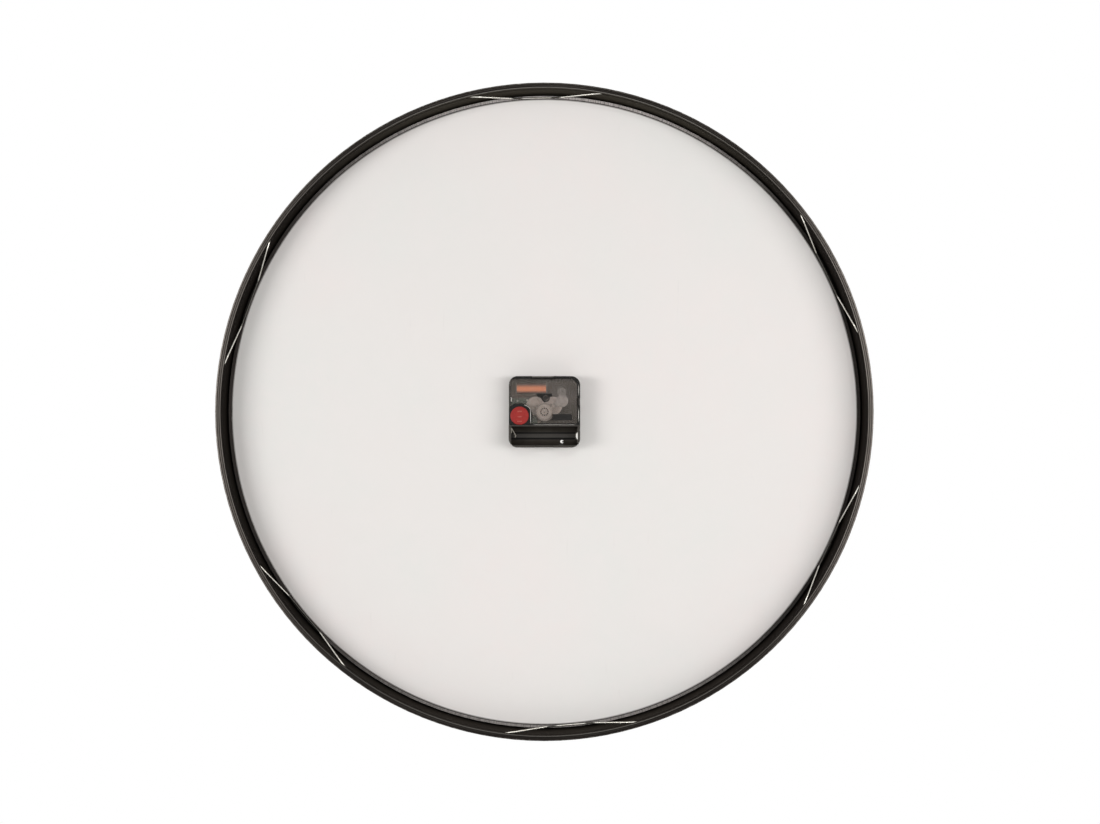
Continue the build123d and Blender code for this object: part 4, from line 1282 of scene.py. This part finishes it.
@dataclass
class Movement:
    """Tray, cover, motor, circuit and battery contacts of the quartz movement.

    Places on it are in millimetres right of and above the hand axis, and levels in millimetres above the
    board's back.
    """

    # Bands of painted shade along the floor of the battery bay.
    bay_shade_bands: tuple[Pair, ...] = ((-0.0174, -0.0162), (-0.0220, -0.0205))
    tube_steps: int = 10
    dome_steps: int = 20
    dome_rows: int = 8
    bead_radius: float = 0.00019
    bead_level: float = 15.95
    bead_points: int = 12
    lower_bead: Pair = (-10.2, 25.6)
    cover_low: float = -10.15
    cover_right: float = 26.85
    well_centre: Pair = (-20.3, 0.7)
    well_reach: Pair = (9.45, 5.4)
    well_sweep: float = 62.0
    well_points: int = 24
    latch_level: float = 15.0
    lead_radius: float = 0.00011
    lead_steps: int = 28
    lead_level: float = 5.4
    lead_slack: Pair = (1.6, 2.4)
    lead_lift: Pair = (0.5, 1.0)
    lead_seat: float = 0.3
    lead_starts: tuple[Pair, ...] = ((-21.9, 14.5), (-20.4, 14.5))
    lead_ends: tuple[Pair, ...] = ((-21.4, 8.6), (-13.6, 9.2))
    pads: tuple[Pair, ...] = (
        *((-23.0, -7.4), (-24.7, 1.7), (-23.1, 1.7)),
        *((-11.4, -0.6), (-15.6, -7.9), (-11.0, 8.4)),
    )
    pad_radius: float = 0.00075
    pad_height: float = 0.0004
    board_top: float = 6.2
    heads: tuple[Pair, ...] = ((16.2, 9.2), (14.2, 16.2))
    head_radius: float = 0.0011
    head_height: float = 0.00043
    bridge_top: float = 10.7

    def dress(self) -> None:
        """Gives the fixed solids of the movement their finishes."""
        coarse = MouldedPlastic(
            (0.0255, 0.0215, 0.0170),
            (0.0325, 0.0280, 0.0225),
            0.40,
            0.55,
            shine=0.32,
            shade_bands=self.bay_shade_bands,
        )
        coarse.make("moulded_black", "movement_base")
        SmokeCover().make("smoke_cover", "movement_cover")
        brass = DrawnMetal((0.72, 0.53, 0.25), (0.58, 0.40, 0.17), 1)
        brass.make("turned_brass", "threaded_bush", "dial_washer", "dial_nut")
        CircuitGreen().make("circuit_green", "circuit_board")
        resin = MouldedPlastic((0.012, 0.012, 0.012), (0.02, 0.02, 0.019), 0.14, 0.3, 900.0, 0.00004, 700.0)
        resin.make("chip_resin", "control_chip")
        plate = DrawnMetal((0.78, 0.765, 0.73), (0.66, 0.63, 0.57), 0, 0.14, 0.32)
        plate.make("bright_plate", "quartz_crystal")
        leaf = DrawnMetal((0.31, 0.287, 0.245), (0.22, 0.20, 0.17), 0, 0.34, 0.52)
        leaf.make("leaf_tin", "negative_contact")
        RivetHead().make("rivet_head", "contact_rivet")
        ContactPlate().make("contact_plate", "positive_contact")
        bobbin = MouldedPlastic((0.055, 0.046, 0.038), (0.07, 0.058, 0.048))
        bobbin.make("bobbin_plastic", "coil_bobbin")
        CoilWire().make("copper_winding", "coil_winding")
        steel = DrawnMetal((0.030, 0.020, 0.012), (0.018, 0.012, 0.008), 0, 0.36, 0.52, 2600.0, 0.6)
        steel.make("motor_steel", "coil_core", "stator")
        BridgeNylon().make("bridge_nylon", "train_bridge")

    def tube(self, piece: Piece, path: np.ndarray, radius: float) -> None:
        """Builds a piece as a tube of that radius in metres along a path, closed at both ends."""
        points = tube_points(path, radius, self.tube_steps)
        piece.build(points, grid_faces(len(path), self.tube_steps))

    def beads(self) -> None:
        """Runs fine moulded beads along the cover's edges, its well and a latch, pale as painted highlights.

        Round the well the line bends on an ellipse: (c + a cos t, d + b sin t).
        """
        low, right = self.cover_low, self.cover_right
        sweep = np.radians(np.linspace(0.0, self.well_sweep, self.well_points))
        (middle, rise), (wide, high) = self.well_centre, self.well_reach
        bend = np.stack([middle + wide * np.cos(sweep), rise + high * np.sin(sweep)], axis=1)
        side = middle + wide
        across = np.linspace(*self.lower_bead, self.bead_points)
        lower = np.stack([across, np.full(self.bead_points, low)], axis=1)
        hook = [(-26.7, 10.7), (-26.3, 11.3), (-25.8, 10.9), (-25.9, 9.8), (-26.0, 8.6), (-25.8, 7.4)]
        lines = (
            ("well", [(side, low), (side, -6.9), (side, -3.1), *bend], self.bead_level, 1.0),
            ("right", [(right, 4.6), (right, 0.0), (right, -4.6), (right, -9.3)], self.bead_level, 1.0),
            ("upper", [(right, 11.2), (right, 15.2), (right, 19.2), (26.7, 22.4)], self.bead_level, 1.0),
            ("lower", lower, self.bead_level, 0.6),
            ("latch", hook, self.latch_level, 2.2),
        )
        # Painted highlight: the beads are pale so that they read as lit edges.
        pale = MouldedPlastic((0.78, 0.75, 0.70), (0.58, 0.55, 0.51), 0.2, 0.34).make("bead_plastic")
        for name, line, level, share in lines:
            path = np.array([behind(u, v, level) for u, v in line])
            piece = Piece(f"cover_bead_{name}", Body.CASE, "smoke_cover", pale)
            self.tube(piece, path, share * self.bead_radius)

    def leads(self) -> None:
        """Swings the coil's two hair-thin leads from the winding down to the circuit board."""
        leave, arrive = self.lead_slack
        rise, drop = self.lead_lift
        for number, (start, end) in enumerate(zip(self.lead_starts, self.lead_ends), 1):
            route = [
                behind(*start, self.lead_level),
                behind(start[0], start[1] - leave, self.lead_level + rise),
                behind(end[0], end[1] + arrive, self.board_top + drop),
                behind(*end, self.board_top + self.lead_seat),
            ]
            piece = Piece(f"coil_lead_{number}", Body.CASE, "copper", worn_by("coil_winding"))
            self.tube(piece, swing(route, self.lead_steps), self.lead_radius)

    def domes(self, piece: Piece, places: tuple[Pair, ...], level: float, radius: float, high: float) -> None:
        """Sets low domes on a level face: distance r cos t, height h sin t for t from 0 to a quarter turn.

        Args:
            piece: The piece that they make up together.
            places: Where they sit.
            level: Height of the face.
            radius: Radius of a dome in metres.
            high: Height of a dome in metres.
        """
        lift = np.linspace(0.0, np.pi / 2, self.dome_rows)
        dome = np.stack([radius * np.cos(lift), high * np.sin(lift)], axis=1)
        dome = np.concatenate([[[0.0, 0.0]], dome])
        dome[-1, 0] = 0.0
        rows = [turned_points(dome, behind(*place, level), self.dome_steps) for place in places]
        first = len(dome) * self.dome_steps * np.arange(len(places))[:, None, None]
        faces = grid_faces(len(dome), self.dome_steps)[None] + first
        piece.build(np.concatenate(rows), faces.reshape(-1, 4))

    def build(self) -> None:
        """Adds the cover's beads, the coil's two leads, the solder and the heads that hold the bridge."""
        self.beads()
        self.leads()
        tin = DrawnMetal((0.42, 0.395, 0.35), (0.33, 0.305, 0.265), 0, 0.34, 0.52).make("dull_tin")
        solder = Piece("solder_dots", Body.CASE, "bright_metal", tin)
        self.domes(solder, (*self.lead_ends, *self.pads), self.board_top, self.pad_radius, self.pad_height)
        heads = Piece("bridge_heads", Body.CASE, "natural_nylon", worn_by("train_bridge"))
        self.domes(heads, self.heads, self.bridge_top, self.head_radius, self.head_height)


@dataclass(frozen=True)
class Wheel:
    """One wheel of the train: its solid, body, axis seen from behind, top, rib and how far its disc is clean.

    Lengths are in millimetres, and a rib of 0 stands for none.
    """

    node: str
    body: Body
    axis: Pair
    top: float
    rib: float
    clean: float = 9.0


@dataclass
class Train:
    """Wheels, arbors, hands and knob, each on its own turning body."""

    wheels: tuple[Wheel, ...] = (
        Wheel("second_wheel", Body.SECOND, HAND_AXIS, 12.2, 4.9, 5.7),
        Wheel("third_wheel", Body.THIRD, THIRD_AXIS, 8.0, 5.2),
        Wheel("intermediate_wheel", Body.INTERMEDIATE, INTERMEDIATE_AXIS, 9.2, 5.0),
        Wheel("minute_wheel", Body.MINUTE, HAND_AXIS, 6.0, 0.0),
        Wheel("hour_wheel", Body.HOUR, HAND_AXIS, 2.8, 0.0),
        Wheel("reverse_wheel", Body.REVERSE, (-7.609, -3.559), 4.3, 0.0),
    )
    rib_width: float = 0.0008
    rib_height: float = 0.00025
    rib_steps: int = 72
    rib_rows: int = 9

    def dress(self) -> None:
        """Gives the moving solids their finishes."""
        for wheel in self.wheels:
            nylon = NaturalNylon(axis_at(*wheel.axis), clean=wheel.clean / 1000)
            nylon.make(f"nylon_{wheel.node}", wheel.node)
        steel = DrawnMetal((0.60, 0.59, 0.57), (0.50, 0.48, 0.46), 1, 0.14, 0.28)
        steel.make("arbor_steel", "second_arbor")
        pinion = MouldedPlastic((0.55, 0.50, 0.46), (0.48, 0.44, 0.40), 0.3, 0.45)
        pinion.make("rotor_pinion", "rotor_arbor")
        magnet = DrawnMetal((0.17, 0.145, 0.125), (0.12, 0.10, 0.088), 0, 0.3, 0.48, 3000.0, 0.85)
        magnet.make("rotor_magnet", "rotor_magnet")
        tube = MouldedPlastic((0.62, 0.57, 0.53), (0.55, 0.51, 0.47), 0.34, 0.48)
        tube.make("cannon_plastic", "minute_cannon")
        hands = SatinEnamel((0.012, 0.012, 0.0125))
        hands.make("hand_enamel", "hour_hand", "minute_hand", "second_hand")
        KnobRed().make("knob_red", "setting_knob")

    def build(self) -> None:
        """Raises a rounded rib round each wheel that shows: distance R + w/2 cos t, height h sin t."""
        sweep = np.linspace(0.0, np.pi, self.rib_rows)
        for wheel in self.wheels:
            if wheel.rib == 0.0:
                continue
            away = wheel.rib / 1000 + self.rib_width / 2 * np.cos(sweep)
            profile = np.stack([away, self.rib_height * np.sin(sweep)], axis=1)
            points = turned_points(profile, behind(*wheel.axis, wheel.top), self.rib_steps)
            rib = Piece(f"{wheel.node}_rib", wheel.body, "natural_nylon", worn_by(wheel.node))
            rib.build(points, grid_faces(len(profile), self.rib_steps, closed=True))


@dataclass(frozen=True)
class Lamp:
    """A soft box: its place, width, height and power in watts, whether gloss mirrors it, and its target."""

    name: str
    place: Point
    wide: float
    tall: float
    power: float
    mirrored: bool = True
    target: Point = (0.0, -0.02, 0.0)

    def build(self) -> None:
        """Hangs the lamp, turned so that it faces its target and stays upright."""
        light = bpy.data.lights.new(self.name, "AREA")
        light.shape = "RECTANGLE"
        light.size, light.size_y, light.energy = self.wide, self.tall, self.power
        lamp = stand(self.name, light)
        lamp.location = self.place
        away = Vector(self.place) - Vector(self.target)
        lamp.rotation_euler = away.to_track_quat("Z", "Y").to_euler()
        lamp.visible_camera = False
        lamp.visible_glossy = self.mirrored


@dataclass
class Studio:
    """White room, pale floor, soft boxes and the camera."""

    lamps: tuple[Lamp, ...] = (
        Lamp("left_soft_box", (1.39, 1.30, 0.04), 0.95, 0.35, 14.0),
        Lamp("right_soft_box", (-0.96, 1.15, 0.04), 1.30, 0.35, 9.3),
        Lamp("top_soft_box", (0.0, 2.20, 0.95), 1.20, 0.50, 6.4),
        Lamp("front_soft_box", (-1.1, -2.2, 1.0), 1.4, 1.4, 20.0, False),
    )
    room_light: float = 0.25
    room_colour: Colour = (1.0, 0.99, 0.975)
    floor_height: float = -0.62
    floor_radius: float = 1.0
    floor_rings: int = 24
    floor_steps: int = 96
    camera_place: Point = (-0.00437, 1.2, -0.00014)
    frame_width: float = 0.8580
    sensor: float = 36.0
    clip: Pair = (0.01, 100.0)

    def build(self) -> None:
        """Sets the room, the floor, the lamps and the camera."""
        self.room()
        self.floor()
        for lamp in self.lamps:
            lamp.build()
        self.camera()
        bpy.context.scene.view_settings.view_transform = "Standard"

    def room(self) -> None:
        """Lights the room evenly and shows it white to the eye, in gloss and through glass."""
        world = bpy.data.worlds.new("white_room")
        bpy.context.scene.world = world
        graph = Graph(world)
        graph.finish(color=self.room_colour, strength=self.room_light)
        graph.overlay(graph.seen(), "Background", Color=WHITE, Strength=1.0)

    def floor(self) -> None:
        """Lays a pale round floor that keeps the clock's shadow and passes into the white room at its edge.

        Its points are (r cos t, r sin t, h) for r from 0 to the floor's radius and t over a full turn.
        """
        away = np.linspace(0.0, self.floor_radius, self.floor_rings)
        profile = np.stack([away, np.full(self.floor_rings, self.floor_height)], axis=1)
        points = turned_points(profile, (0.0, 0.0, 0.0), self.floor_steps)[:, [0, 2, 1]]
        mesh = closed_mesh("floor", points, grid_faces(self.floor_rings, self.floor_steps))
        mesh.materials.append(PaleFloor().make("pale_floor"))
        floor = stand("floor", mesh)

    def camera(self) -> None:
        """Stands the camera squarely behind the clock, as far away as the photographed depth asks."""
        data = bpy.data.cameras.new("camera")
        data.sensor_fit = "HORIZONTAL"
        data.sensor_width = self.sensor
        data.lens = self.sensor * self.camera_place[1] / self.frame_width
        data.clip_start, data.clip_end = self.clip
        camera = stand("camera", data)
        camera.location = self.camera_place
        camera.rotation_euler = (math.radians(90), 0.0, math.radians(180))
        bpy.context.scene.camera = camera


def main() -> None:
    """Builds and dresses the sub-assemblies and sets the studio."""
    logging.basicConfig(level=logging.INFO, format="%(message)s")
    for assembly in (Case(), Movement(), Train()):
        assembly.dress()
        assembly.build()
    Studio().build()


if __name__ == "__main__":
    main()
